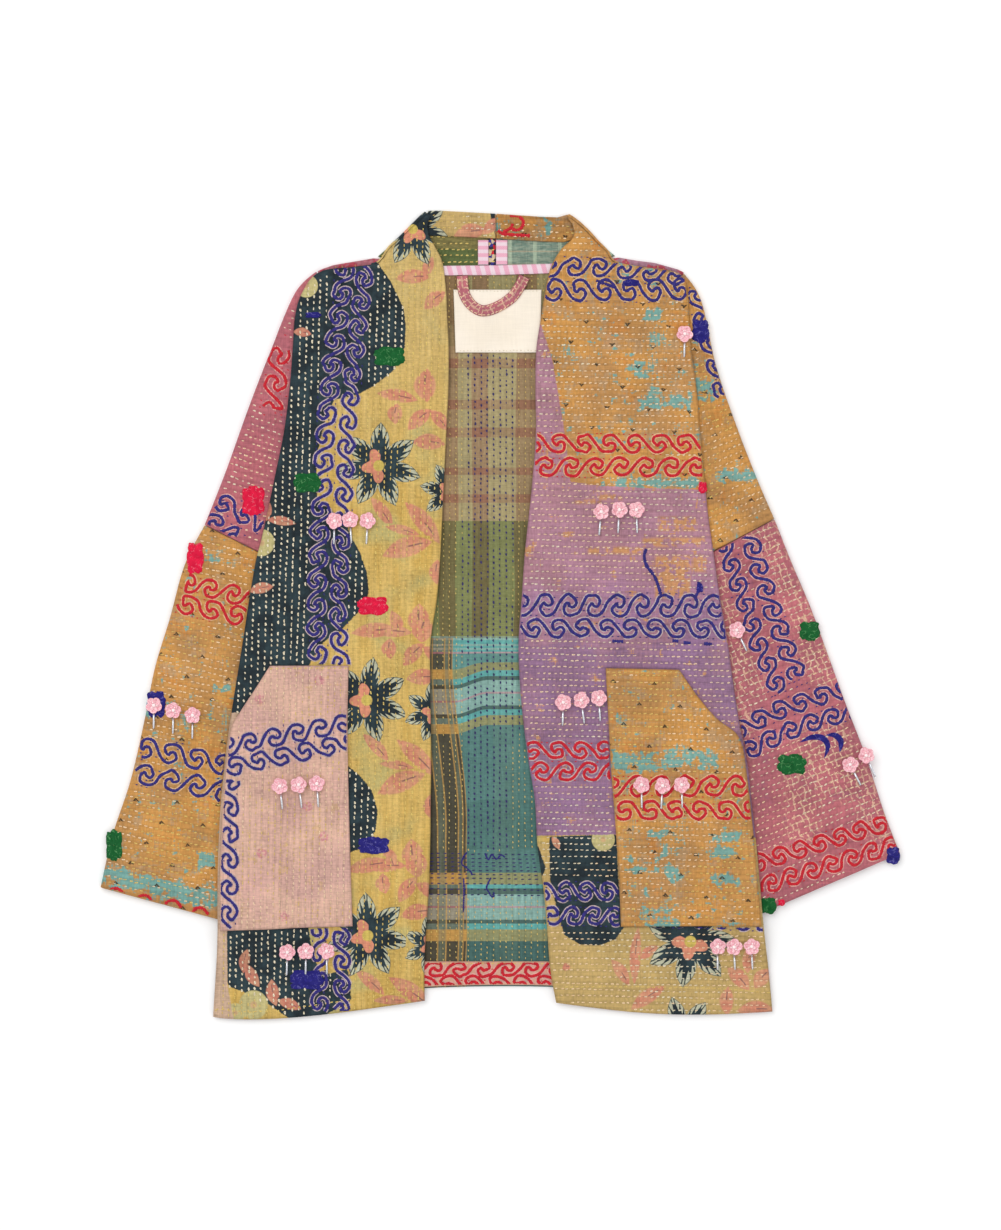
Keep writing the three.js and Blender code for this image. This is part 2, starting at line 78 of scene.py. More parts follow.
# Steps along a table so that each takes about the same length of cloth.
def evenStops(rows, count):
    dense = np.linspace(0, len(rows) - 1, 400)
    curve = alongTable(rows, dense)
    length = lengthAlong(0.5 * (curve[:, 0:2] + curve[:, 2:4]))
    return np.interp(np.linspace(0, length[-1], count), length, dense)


# How far each point of a path is from its start.
def lengthAlong(path):
    return np.concatenate([[0], np.cumsum(np.hypot(*np.diff(path[:, :2], axis=0).T))])


# Unit steps to the left of a path.
def leftOf(path):
    step = np.gradient(path, axis=0)
    step /= np.maximum(np.linalg.norm(step, axis=1, keepdims=True), 1e-9)
    return np.stack([-step[:, 1], step[:, 0]], 1)


cloth = {
    "wall": 2.0,
    "gap": 0.3,
    "sleeveHeight": 6.6,
    "sleeveLap": 4.0,
    "drop": 36.0,
    "ridge": 0.5,
    "clear": 0.4,
    "roll": 0.6,  # how far a cut edge is rounded back
    "rowPitch": 6.3,
    "rowDepth": 0.5,
}

# Each front from hem to collar tip: its side seam, armhole, shoulder and fold, then its free edge.
rightFrontRows = [
    (-286.5, -401, -75, -385), (-283.5, -353, -75.5, -353), (-281.5, -318, -74, -318),
    (-281.5, -275, -71, -275), (-280.5, -230, -69.5, -230), (-278, -185, -69, -185),
    (-274, -147, -68.5, -147), (-269, -107, -69, -107), (-262.5, -65, -69.5, -65), (-256, -25, -69, -25),
    (-250, 15, -63, 15), (-243.5, 53, -60, 53), (-238, 75, -58.7, 75), (-232.5, 100, -57.6, 100),
    (-223, 145, -55.3, 145), (-215, 185, -53.4, 185), (-210, 225, -51.5, 225), (-206.8, 265, -51.2, 265),
    (-204.5, 297, -52.6, 297), (-198, 320, -53.5, 320), (-182, 341, -55.5, 341), (-153, 346, -57, 350),
    (-124, 351, -58.5, 356), (-113, 367, -62, 363), (-101, 378, -66.5, 371), (-90, 389, -70.5, 379),
    (-81, 398, -72.5, 388), (-75, 403, -69.5, 398),
]
leftFrontRows = [
    (272, -396, 56, -387), (268, -353, 50, -353), (263.5, -318, 47.3, -318), (259.5, -275, 43.5, -275),
    (255.5, -230, 37.3, -230), (250.5, -185, 34.7, -185), (246.3, -147, 28.5, -147),
    (238.5, -107, 23.3, -107), (232, -65, 19.5, -65), (226.5, -25, 18.5, -25), (219.5, 15, 21.5, 15),
    (214, 53, 24, 53), (211, 75, 26, 75), (207.5, 100, 28.8, 100), (203, 145, 33.3, 145),
    (199.3, 185, 35.8, 185), (196, 225, 35.3, 225), (190.5, 265, 36.2, 265), (188.5, 297, 41, 297),
    (187, 320, 44.5, 320), (181, 339, 48.2, 339), (149, 346.5, 51.5, 349), (117, 351.8, 56, 357.5),
    (108, 364.5, 61, 365), (99, 373.5, 66.5, 370.5), (90, 383.5, 71.5, 375), (81, 392, 74, 382),
    (74, 397.5, 71.5, 390), (69, 400.5, 67.8, 395),
]
shoulderRow = 20
neckRow = 22
underarm = {"top": 75.0, "full": 53.0, "cuffFull": -318.0, "cuffClear": -353.0}


def makeSide(rows, innerLine, inward):
    body = np.array(rows[:shoulderRow + 1], float)
    inner = np.array(innerLine, float)[::-1]
    return {"rows": np.array(rows, float), "body": body, "inner": inner, "inward": inward}


right = makeSide(rightFrontRows, [(343, -180), (85, -228), (55, -225), (-315, -240)], 1)
left = makeSide(leftFrontRows, [(342, 180), (87, 200), (55, 197), (-305, 244)], -1)


# 0 on the bare body, 1 where a sleeve lies under it.
def onSleeve(side, x, y):
    top = np.interp(y, side["inner"][:, 0], side["inner"][:, 1]) * side["inward"] + cloth["sleeveLap"]
    return 1 - soft(x * side["inward"] - top, 0, cloth["drop"])


def backLifted(y):
    return np.minimum(soft(y, underarm["top"], underarm["full"]),
                      soft(y, underarm["cuffClear"], underarm["cuffFull"]))


def backFloor(x, y):
    share = np.where(x < 0, onSleeve(right, x, y), onSleeve(left, x, y))
    return (cloth["sleeveHeight"] + cloth["gap"]) * share * backLifted(y)


fronts = {"edgeLift": 1.5, "neckLift": 1.1, "hemLift": 1.0, "puff": 1.1, "foldLift": 2.6}


def frontFloor(side, x, y):
    over = cloth["sleeveHeight"] - cloth["wall"] + cloth["ridge"] + cloth["clear"] - cloth["gap"]
    lifted = over * soft(y, underarm["cuffClear"], underarm["cuffFull"])
    lifted = lifted + (cloth["wall"] + cloth["gap"]) * backLifted(y)
    body = side["body"]
    fromEdge = (np.interp(y, body[:, 3], body[:, 2]) - x) * side["inward"]
    fromSide = (x - np.interp(y, body[:, 1], body[:, 0])) * side["inward"]
    edge = soft(fromEdge, 46, 16) * (fronts["edgeLift"] + fronts["neckLift"] * soft(y, 322, 338))
    air = fronts["puff"] * soft(fromSide, 30, 90) * soft(y, -370, -300) * soft(y, 330, 250)
    hem = fronts["hemLift"] * soft(y, -325, underarm["cuffClear"])
    return cloth["wall"] + cloth["gap"] + onSleeve(side, x, y) * lifted + edge + air + hem


# Soft folds and hollows that the cloth lies in, one row each: from, to, half width, height.
def creases(table, x, y):
    total = np.zeros_like(x, float)
    for x0, y0, x1, y1, width, height in table:
        a, b = spots([(x0, y0), (x1, y1)])
        run = b - a
        t = np.clip(((x - a[0]) * run[0] + (y - a[1]) * run[1]) / run.dot(run), 0, 1)
        far = np.hypot(x - a[0] - t * run[0], y - a[1] - t * run[1])
        total = total + height * np.exp(-(far / width) ** 2)
    return total


# The puffed ridges between rows of hand stitches, uneven from row to row.
def quilting(across, along):
    phase = across / cloth["rowPitch"]
    hump = np.abs(np.sin(math.pi * phase)) ** 0.8
    row = np.floor(phase)
    uneven = 0.75 + 0.25 * np.sin(row * 2.4 + along / 37) * np.sin(row * 1.3 - along / 23)
    return cloth["rowDepth"] * hump * uneven


pieces = {}
surfaces = {}  # the top face of each piece, so that sewing can lie on it


def newMesh(name, points, quads, materials=(), slots=None, smooth=True):
    mesh = bpy.data.meshes.new(name)
    points = np.asarray(points, np.float32) * 0.001
    quads = np.asarray(quads, np.int32)
    mesh.vertices.add(len(points))
    mesh.vertices.foreach_set("co", points.ravel())
    mesh.loops.add(quads.size)
    mesh.loops.foreach_set("vertex_index", quads.ravel())
    mesh.polygons.add(len(quads))
    mesh.polygons.foreach_set("loop_start", np.arange(0, quads.size, 4, dtype=np.int32))
    if slots is not None:
        mesh.polygons.foreach_set("material_index", np.asarray(slots, np.int32))
    mesh.polygons.foreach_set("use_smooth", np.full(len(quads), smooth))
    mesh.update(calc_edges=True)
    mesh.validate()
    for material in materials:
        mesh.materials.append(material)
    piece = bpy.data.objects.new(name, mesh)
    bpy.context.scene.collection.objects.link(piece)
    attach(piece, "root")
    return piece


def pointValues(piece, name, values):
    layer = piece.data.attributes.new(name, "FLOAT", "POINT")
    layer.data.foreach_set("value", np.asarray(values, np.float32).ravel())


# A sheet or tube of cloth: its inner points, moved out along the surface by the wall, with rounded cut edges.
def clothShell(name, inner, thick, materials, around=False, flip=False, values=None):
    rows, columns = inner.shape[:2]
    if around:
        alongU = np.roll(inner, -1, 1) - np.roll(inner, 1, 1)
    else:
        alongU = np.gradient(inner, axis=1)
    out = np.cross(alongU, np.gradient(inner, axis=0))
    out /= np.maximum(np.linalg.norm(out, axis=2, keepdims=True), 1e-9)
    out = -out if flip else out
    outer = inner + out * np.broadcast_to(thick, (rows, columns))[..., None]
    middle = 0.5 * (inner + outer)
    index = np.arange(rows * columns).reshape(rows, columns)
    if around:
        loops = [index[0], index[-1][::-1]]
    else:
        loops = [np.concatenate([index[0, :-1], index[:-1, -1], index[-1, :0:-1], index[:0:-1, 0]])]
    shift = np.zeros_like(inner)
    back = lambda a, b: (b - a) / np.maximum(np.linalg.norm(b - a, axis=-1, keepdims=True),
                                             1e-9) * cloth["roll"]
    shift[0] += back(inner[0], inner[1])
    shift[-1] += back(inner[-1], inner[-2])
    if not around:
        shift[:, 0] += back(inner[:, 0], inner[:, 1])
        shift[:, -1] += back(inner[:, -1], inner[:, -2])
    rims = [middle.reshape(-1, 3)[loop] for loop in loops]
    points = np.concatenate([(inner + shift).reshape(-1, 3), (outer + shift).reshape(-1, 3), *rims])
    total = rows * columns
    wide = np.concatenate([index, index[:, :1]], 1) if around else index
    grid = np.stack([wide[:-1, :-1], wide[:-1, 1:], wide[1:, 1:], wide[1:, :-1]], -1).reshape(-1, 4)
    quads = [grid + total, grid[:, ::-1]]
    slots = [np.zeros(len(grid)), np.full(len(grid), 1 if len(materials) > 1 else 0)]
    start = 2 * total
    for loop in loops:
        ring = start + np.arange(len(loop))
        nextLoop, nextRing = np.roll(loop, -1), np.roll(ring, -1)
        quads.append(np.stack([nextLoop + total, loop + total, ring, nextRing], -1))
        quads.append(np.stack([nextRing, ring, loop, nextLoop], -1))
        slots.append(np.zeros(2 * len(loop)))
        start += len(loop)
    quads = np.concatenate(quads)
    if flip:
        quads = quads[:, ::-1]
    piece = pieces[name] = newMesh(name + "_cloth", points, quads, materials, np.concatenate(slots))
    source = np.concatenate([np.arange(total), np.arange(total), *loops])
    for label, value in (values or {}).items():
        pointValues(piece, label, np.asarray(value, float).reshape(-1)[source])
    top = grid + total
    surfaces[name] = BVHTree.FromPolygons(points.tolist(), (top[:, ::-1] if flip else top).tolist())
    return piece


# Height of a piece's top face under each place, from above. Places off the piece are not a number.
def heightOn(name, x, y):
    tree = surfaces[name]
    down = Vector((0, 0, -1))
    heights = np.full(len(x), np.nan)
    for k, (px, py) in enumerate(zip(x, y)):
        hit = tree.ray_cast(Vector((px, py, 60)), down)[0]
        if hit is not None:
            heights[k] = hit.z
    return heights


# Signed distance to a closed outline: above 0 inside it.
def insideOutline(outline, x, y):
    start = np.asarray(outline, float)
    end = np.roll(start, -1, 0)
    nearest = np.full(x.shape, 1e9)
    within = np.zeros(x.shape, bool)
    for (ax, ay), (bx, by) in zip(start, end):
        run = (bx - ax) ** 2 + (by - ay) ** 2
        t = np.clip(((x - ax) * (bx - ax) + (y - ay) * (by - ay)) / max(run, 1e-9), 0, 1)
        nearest = np.minimum(nearest, np.hypot(x - ax - t * (bx - ax), y - ay - t * (by - ay)))
        if by != ay:
            crosses = (ay > y) != (by > y)
            within ^= crosses & (x < (bx - ax) * (y - ay) / (by - ay) + ax)
    return np.where(within, nearest, -nearest)


def insideAny(outlines, x, y):
    return np.max([insideOutline(spots(o), x, y) for o in outlines], axis=0)


# Materials. Every node goes into the tree that is being built.
building = {}


def fill(node, values):
    for key, value in values.items():
        if isinstance(value, bpy.types.NodeSocket):
            building["tree"].links.new(value, node.inputs[key])
        else:
            node.inputs[key].default_value = value


def put(kind, values=None, **settings):
    node = building["tree"].nodes.new("ShaderNode" + kind)
    for key, value in settings.items():
        setattr(node, key, value)
    fill(node, values or {})
    return node


def calc(operation, a, b=0.0, clamp=False):
    return put("Math", {0: a, 1: b}, operation=operation, use_clamp=clamp).outputs[0]


def times(a, b, clamp=False):
    return calc("MULTIPLY", a, b, clamp)


def plus(a, b):
    return calc("ADD", a, b)


def minus(a, b):
    return calc("SUBTRACT", a, b)


def divided(a, b, clamp=False):
    return calc("DIVIDE", a, b, clamp)


def absolute(a):
    return calc("ABSOLUTE", a)


def fract(a):
    return calc("FRACT", a)


def larger(a, b):
    return calc("MAXIMUM", a, b)


def above(a, limit):
    return calc("GREATER_THAN", a, limit)


def scaled(vector, factor):
    return put("VectorMath", {0: vector, "Scale": factor}, operation="SCALE").outputs[0]


def split(vector):
    return put("SeparateXYZ", {0: vector}).outputs


def lengthOf(vector):
    return put("VectorMath", {0: vector}, operation="LENGTH").outputs["Value"]


# 0 up to start, then smoothly to 1 at end; fade is the same turned round.
def mask(value, start, end):
    ranged = {"Value": value, "From Min": start, "From Max": end}
    return put("MapRange", ranged, interpolation_type="SMOOTHSTEP").outputs["Result"]


def fade(value, start, end):
    return minus(1.0, mask(value, start, end))


def over(share, under, top):
    return put("Mix", {0: share, 6: under, 7: top}, data_type="RGBA").outputs[2]


# Colours one over another, each with the share that it takes.
def coats(colour, *layers):
    for share, top in layers:
        colour = over(share, colour, top)
    return colour


def bump(height, strength, distance):
    return put("Bump", {"Strength": strength, "Distance": distance, "Height": height}).outputs[0]


def dye(r, g, b):
    line = lambda c: c / 12.92 if c <= 0.04045 else ((c + 0.055) / 1.055) ** 2.4
    return (line(r / 255), line(g / 255), line(b / 255), 1.0)


groups = {}


# A named effect: its inputs are name, kind of socket and starting value, its outputs are numbers.
def newGroup(name, inputs, outputs):
    tree = groups[name] = building["tree"] = bpy.data.node_groups.new(name, "ShaderNodeTree")
    for label, kind, value in inputs:
        made = tree.interface.new_socket(label, in_out="INPUT", socket_type="NodeSocket" + kind)
        if value is not None:
            made.default_value = value
    for label in outputs:
        tree.interface.new_socket(label, in_out="OUTPUT", socket_type="NodeSocketFloat")
    return tree.nodes.new("NodeGroupInput").outputs, tree.nodes.new("NodeGroupOutput")


def useGroup(name, values):
    return put("Group", values, node_tree=groups[name]).outputs


def noise(place, scale, detail=2.0, stretch=(1, 1, 1)):
    at = put("VectorMath", {0: place, 1: stretch}, operation="MULTIPLY").outputs[0]
    return put("TexNoise", {"Vector": at, "Scale": scale, "Detail": detail}).outputs[0]


def makeWeave():
    inputs, out = newGroup("clothWeave", [("Place", "Vector", None), ("Thread", "Float", 0.9)],
                           ("Height", "Slub"))
    place = inputs["Place"]
    wave = {"Vector": place, "Scale": divided(2.2, inputs["Thread"]), "Distortion": 1.2, "Detail": 1.0,
            "Detail Scale": 0.6}
    warp, weft = (times(put("TexWave", wave, bands_direction=way).outputs[1], 0.5) for way in ("X", "Y"))
    slub = plus(noise(place, 0.9, 3.0, (0.06, 1.0, 1.0)), noise(place, 0.9, 3.0, (1.0, 0.06, 1.0)))
    fill(out, {"Height": plus(plus(warp, weft), times(slub, 0.8)), "Slub": minus(slub, 1.0)})


# Rubbed-through patches of the layer below: broken into streaks along the threads.
def makeWorn():
    inputs, out = newGroup(
        "wornStreaks",
        [("Place", "Vector", None), ("Size", "Float", 40.0), ("Least", "Float", 0.6),
          ("Shift", "Float", 0.0)],
        ("Mask",),
    )
    place = put("VectorMath", {0: inputs["Place"], 1: inputs["Shift"]}, operation="ADD").outputs[0]
    big = put("TexNoise", {"Vector": place, "Scale": divided(1.0, inputs["Size"]), "Detail": 3.0}).outputs[0]
    thread = plus(noise(place, 0.55, 2.0, (0.12, 1.0, 1.0)), noise(place, 0.55, 2.0, (1.0, 0.12, 1.0)))
    total = plus(big, times(minus(thread, 1.0), 0.35))
    fill(out, {"Mask": times(minus(total, inputs["Least"]), 14.0, clamp=True)})


# Rows of running stitches, drawn where no raised ones are sewn.
def makeDashes():
    inputs, out = newGroup(
        "kanthaDashes", [("Across", "Float", 0.0), ("Along", "Float", 0.0)], ("Mask", "Height", "Pucker"))
    phase = divided(inputs["Across"], cloth["rowPitch"])
    row = calc("FLOOR", plus(phase, 0.5))
    jitter = put("TexWhiteNoise", {"W": row}, noise_dimensions="1D").outputs[0]
    step = fract(plus(divided(inputs["Along"], 5.6), jitter))
    dash = calc("LESS_THAN", step, 0.52)
    off = absolute(minus(phase, row))
    line = fade(off, 0.06, 0.11)
    hump = absolute(calc("SINE", times(phase, math.pi)))
    at = put("CombineXYZ", {0: inputs["Along"], 1: times(inputs["Across"], 0.6)}).outputs[0]
    fill(out, {"Mask": times(dash, line), "Height": calc("POWER", hump, 0.8),
               "Pucker": noise(at, 0.4, 2.0)})


# A printed flower with pointed petals that pale towards their tips, in motif units of one radius.
def makeFlowerPrint():
    inputs, out = newGroup("flowerPrint", [("Motif", "Vector", None)],
                           ("Petal", "Tip", "Stroke", "Heart", "Core", "Line"))
    x, y, _ = split(inputs["Motif"])
    radius = lengthOf(put("CombineXYZ", {0: x, 1: y}).outputs[0])
    turn = divided(calc("ARCTAN2", y, x), 2 * math.pi / 7)
    part = minus(turn, calc("FLOOR", turn))
    aside = absolute(minus(part, 0.5))
    wide = times(aside, 2.0)
    drop = times(calc("POWER", wide, 0.85), 0.36)
    reach = minus(minus(1.0, drop), times(calc("POWER", wide, 3.0), 0.16))
    inside = minus(reach, radius)
    petal = mask(inside, 0.0, 0.02)
    strokes = calc("SINE", times(aside, 40.0))
    tipStart = plus(0.76, times(aside, -0.62))
    jag = plus(tipStart, times(strokes, 0.08))
    tip = times(petal, mask(minus(radius, jag), 0.0, 0.03))
    stroke = times(tip, mask(minus(strokes, times(radius, 0.9)), -0.1, 0.1))
    line = times(petal, fade(inside, 0.015, 0.04))
    around = calc("ARCTAN2", y, times(x, -1.0))
    lobes = times(calc("COSINE", times(around, 4.6)), 0.08)
    oneSide = fade(absolute(around), 1.9, 2.05)
    heartReach = times(plus(0.33, lobes), oneSide)
    heart = mask(minus(heartReach, radius), 0.0, 0.03)
    core = mask(minus(0.14, radius), 0.0, 0.03)
    fill(out, {"Petal": petal, "Tip": tip, "Stroke": stroke, "Heart": heart, "Core": core, "Line": line})


# A printed leaf, pointed at both ends, with a short vein. Its motif units are half its length and half its
# width.
def makeLeafPrint():
    inputs, out = newGroup("leafPrint", [("Motif", "Vector", None)], ("Leaf", "Vein"))
    parts = split(inputs["Motif"])
    square = times(times(parts[0], parts[0]), 0.82)
    bent = absolute(plus(parts[1], times(square, 0.3)))
    leaf = mask(minus(minus(1.0, square), times(bent, 0.72)), 0.0, 0.22)
    thin = fade(bent, 0.06, 0.14)
    middle = absolute(minus(parts[0], 0.35))
    length = fade(middle, 0.25, 0.35)
    fill(out, {"Leaf": leaf, "Vein": times(thin, length)})


# Small dark wedges, each with a pale dot, on a slanting lattice. Point is 1 where they point down, -1 up.
def makeWedges():
    inputs, out = newGroup("wedgeMarks", [("Place", "Vector", None), ("Point", "Float", 1.0)], ("Mask",))
    parts = split(inputs["Place"])
    x = minus(parts[0], 15.4)
    y = plus(plus(parts[1], 7.7), times(x, 0.06))
    down = divided(y, 21.0)
    row = calc("FLOOR", down)
    across = divided(minus(x, times(row, 15.3)), 41.0)
    u = times(minus(fract(across), 0.5), 41.0)
    v = times(minus(minus(down, row), 0.5), 21.0)
    wobble = times(minus(noise(inputs["Place"], 0.4, 3.0), 0.5), 2.6)
    aside = absolute(plus(u, wobble))
    v = plus(times(v, inputs["Point"]), wobble)
    rise = minus(plus(v, 2.4), times(aside, 1.1))
    wedge = calc("MINIMUM", rise, minus(1.6, v))
    dotY = minus(v, 0.5)
    square = plus(times(aside, aside), times(dotY, dotY))
    wedge = calc("MINIMUM", wedge, minus(calc("SQRT", square), 0.2))
    fill(out, {"Mask": mask(wedge, 0.0, 0.5)})


for makeEffect in (makeWeave, makeWorn, makeDashes, makeFlowerPrint, makeLeafPrint, makeWedges):
    makeEffect()
print("effects made")


def readValue(name):
    return put("Attribute", attribute_name=name).outputs["Fac"]


def readVector(name):
    return put("Attribute", attribute_name=name).outputs["Vector"]


def worn(place, size, least, shift):
    return useGroup("wornStreaks", {"Place": place, "Size": size, "Least": least, "Shift": shift})["Mask"]


def startMaterial(name):
    material = bpy.data.materials.new(name)
    material.use_nodes = True
    tree = building["tree"] = material.node_tree
    tree.nodes.clear()
    shader = put("BsdfPrincipled")
    fill(put("OutputMaterial"), {0: shader.outputs[0]})
    return material, shader, scaled(put("TexCoord").outputs["Object"], 1000.0)


# A cotton: paint(place) gives its colour; the weave, slubs, washing and puckers come with it, with painted
# shade in the row valleys, in the puckers and along cut edges.
def cotton(name, paint, dashes=None, thread=0.9, quilted=True, level=0.95):
    material, shader, place = startMaterial(name)
    colour = paint(place)
    weave = useGroup("clothWeave", {"Place": place, "Thread": thread})
    wash = minus(noise(place, 0.03, 4.0), 0.5)
    uneven = 0.55 if quilted else 0.12
    tone = plus(plus(level, times(weave["Slub"], uneven)), times(wash, uneven))
    height = times(weave["Height"], 0.25)
    if quilted:
        rows = useGroup("kanthaDashes", {"Across": readValue("across"), "Along": readValue("along")})
        if dashes:
            colour = over(rows["Mask"], colour, dashes)
        # Painted shade and light: darker in the valleys between stitched rows, lighter on the puffed ridges,
        # and following the puckers' bumps.
        tone = plus(tone, times(minus(rows["Height"], 0.6), 0.16))
        tone = plus(tone, times(minus(rows["Pucker"], 0.5), 0.5))
        height = plus(height, plus(rows["Height"], times(rows["Pucker"], 2.6)))
    shade = scaled(colour, tone)
    # Painted shade: the colour is darker within about 2 mm of a cut edge, where the cloth rolls down.
    shade = over(mask(readValue("edge"), 0.0, 2.2), scaled(shade, 0.85), shade)
    fill(shader, {"Base Color": shade, "Roughness": 0.88, "Sheen Weight": 0.05, "Specular IOR Level": 0.25,
                  "Normal": bump(height, 0.6, 0.0008)})
    return material


def paintPlain(base, second, share=0.5, size=60.0):
    def paint(place):
        spread = noise(place, 1 / size, 4.0)
        return over(mask(spread, share - 0.12, share + 0.12), base, second)
    return paint


def paintOchre(place, point=-1.0):
    colour = paintPlain(dye(206, 149, 79), dye(184, 136, 82), 0.52, 45.0)(place)
    least = minus(0.66, times(mask(readValue("bars"), -5.0, 4.0), 0.28))
    green = larger(worn(place, 26.0, 0.66, 90.0), worn(place, 7.0, least, 10.0))
    slope = absolute(split(put("NewGeometry").outputs["Normal"])[2])
    marks = times(useGroup("wedgeMarks", {"Place": place, "Point": point})["Mask"], mask(slope, 0.3, 0.6))
    return coats(colour, (times(worn(place, 32.0, 0.6, 250.0), 0.6), dye(207, 134, 62)),
                 (times(worn(place, 18.0, 0.57, 190.0), 0.55), dye(178, 150, 118)),
                 (times(green, 0.86), dye(102, 170, 166)), (times(marks, 0.95), dye(60, 50, 38)))


def paintPurple(place):
    colour = paintPlain(dye(162, 122, 160), dye(148, 110, 138), 0.5, 50.0)(place)
    height = split(place)[1]
    high = mask(plus(height, times(noise(place, 0.02, 2.0), 60.0)), 0.0, 90.0)
    rosy = worn(place, 40.0, 0.5, 40.0)
    rosy = larger(times(rosy, 0.5), times(high, 0.55))
    colour = over(rosy, colour, dye(190, 136, 136))
    foot = fade(height, -60.0, 10.0)
    colour = over(times(foot, 0.6), colour, dye(142, 108, 136))
    bars = times(mask(readValue("orange"), -2.0, 2.0), worn(place, 7.0, 0.42, 60.0))
    amber = larger(worn(place, 16.0, 0.66, 310.0), bars)
    return over(times(amber, 0.8), colour, dye(208, 150, 88))


# Rose cotton, rubbed along its stitches into a broken net of paler lines.
def paintRose(place):
    colour = paintPlain(dye(190, 108, 116), dye(174, 100, 110), 0.5, 45.0)(place)
    colour = over(times(worn(place, 22.0, 0.62, 130.0), 0.5), colour, dye(152, 92, 116))
    rows = divided(readValue("across"), 6.3)
    steps = divided(readValue("along"), 6.0)
    warp = times(minus(noise(place, 0.12, 2.0), 0.5), 1.6)
    lines = []
    for value in (plus(rows, times(warp, 0.4)), plus(steps, warp)):
        off = absolute(minus(fract(value), 0.5))
        lines.append(mask(off, 0.35, 0.42))
    broken = mask(noise(place, 0.14, 3.0), 0.43, 0.5)
    web = times(larger(times(lines[0], 0.8), lines[1]), broken)
    knots = times(times(lines[0], lines[1]), mask(noise(place, 0.2, 1.0), 0.42, 0.5))
    web = times(larger(web, knots), readValue("netted"))
    return over(times(web, 0.85), colour, dye(230, 190, 160))


def paintBlush(place):
    colour = paintPlain(dye(220, 178, 158), dye(212, 168, 156), 0.5, 40.0)(place)
    far = lengthOf(readVector("discAt"))
    broken = mask(noise(place, 0.35, 2.0), 0.42, 0.55)
    dot = times(fade(far, 0.7, 1.0), broken)
    colour = over(times(dot, 0.8), colour, dye(206, 132, 142))
    return over(times(worn(place, 12.0, 0.64, 20.0), 0.5), colour, dye(212, 174, 118))


# The flowered print: yellow ground, or dark ground inside the lobes.
def paintFlowers(place):
    streak = noise(place, 0.08, 2.0, (1.0, 0.12, 1.0))
    yellow = coats(
        dye(203, 166, 86),
        (mask(streak, 0.35, 0.65), dye(214, 180, 104)),
        (mask(noise(place, 0.02, 3.0), 0.5, 0.7), dye(192, 176, 112)),
        (times(mask(split(place)[1], 80.0, 330.0), 0.6), dye(208, 182, 122)),
        (mask(readValue("print"), 2.0, 12.0), dye(194, 164, 104)),
    )
    fray = times(minus(noise(place, 0.5, 2.0), 0.5), 2.4)
    deep = over(mask(noise(place, 0.06, 4.0), 0.38, 0.62), dye(33, 44, 50), dye(45, 62, 68))
    leaf = useGroup("leafPrint", {"Motif": readVector("leafAt")})
    peach = over(mask(noise(place, 0.09, 2.0), 0.4, 0.6), dye(206, 130, 108), dye(210, 148, 118))
    disc = lengthOf(readVector("discAt"))
    flower = useGroup("flowerPrint", {"Motif": readVector("flowerAt")})
    return coats(
        yellow,
        (mask(plus(readValue("dark"), fray), -0.5, 0.5), deep),
        (times(leaf["Leaf"], 0.9), peach),
        (times(leaf["Vein"], 0.7), dye(104, 78, 84)),
        (fade(disc, 0.92, 1.0), dye(196, 184, 128)),
        (fade(disc, 0.15, 0.3), dye(204, 168, 124)),
        (flower["Petal"], deep),
        (flower["Tip"], dye(190, 190, 164)),
        (flower["Stroke"], dye(54, 62, 60)),
        (flower["Line"], dye(66, 74, 66)),
        (flower["Heart"], dye(214, 140, 112)),
        (flower["Core"], dye(204, 180, 92)),
        (mask(plus(readValue("beige"), fray), -0.5, 0.5), dye(204, 172, 146)),
    )


def paintLeftFront(place):
    fray = times(minus(noise(place, 0.4, 2.0), 0.5), 2.4)
    purple = mask(plus(readValue("purple"), fray), -0.5, 0.5)
    foot = mask(plus(readValue("print"), fray), -0.5, 0.5)
    colour = over(purple, paintOchre(place, 1.0), paintPurple(place))
    return over(foot, colour, paintFlowers(place))


def bandRamp(value, low, high, stops):
    ramped = put("ValToRGB", {0: divided(minus(value, low), high - low, clamp=True)})
    colours = ramped.color_ramp
    colours.interpolation = "CONSTANT"
    for k, (at, colour) in enumerate(stops):
        stop = colours.elements[k] if k < 2 else colours.elements.new(0.999)
        stop.position = (at - low) / (high - low)
        stop.color = colour
    return ramped.outputs[0]


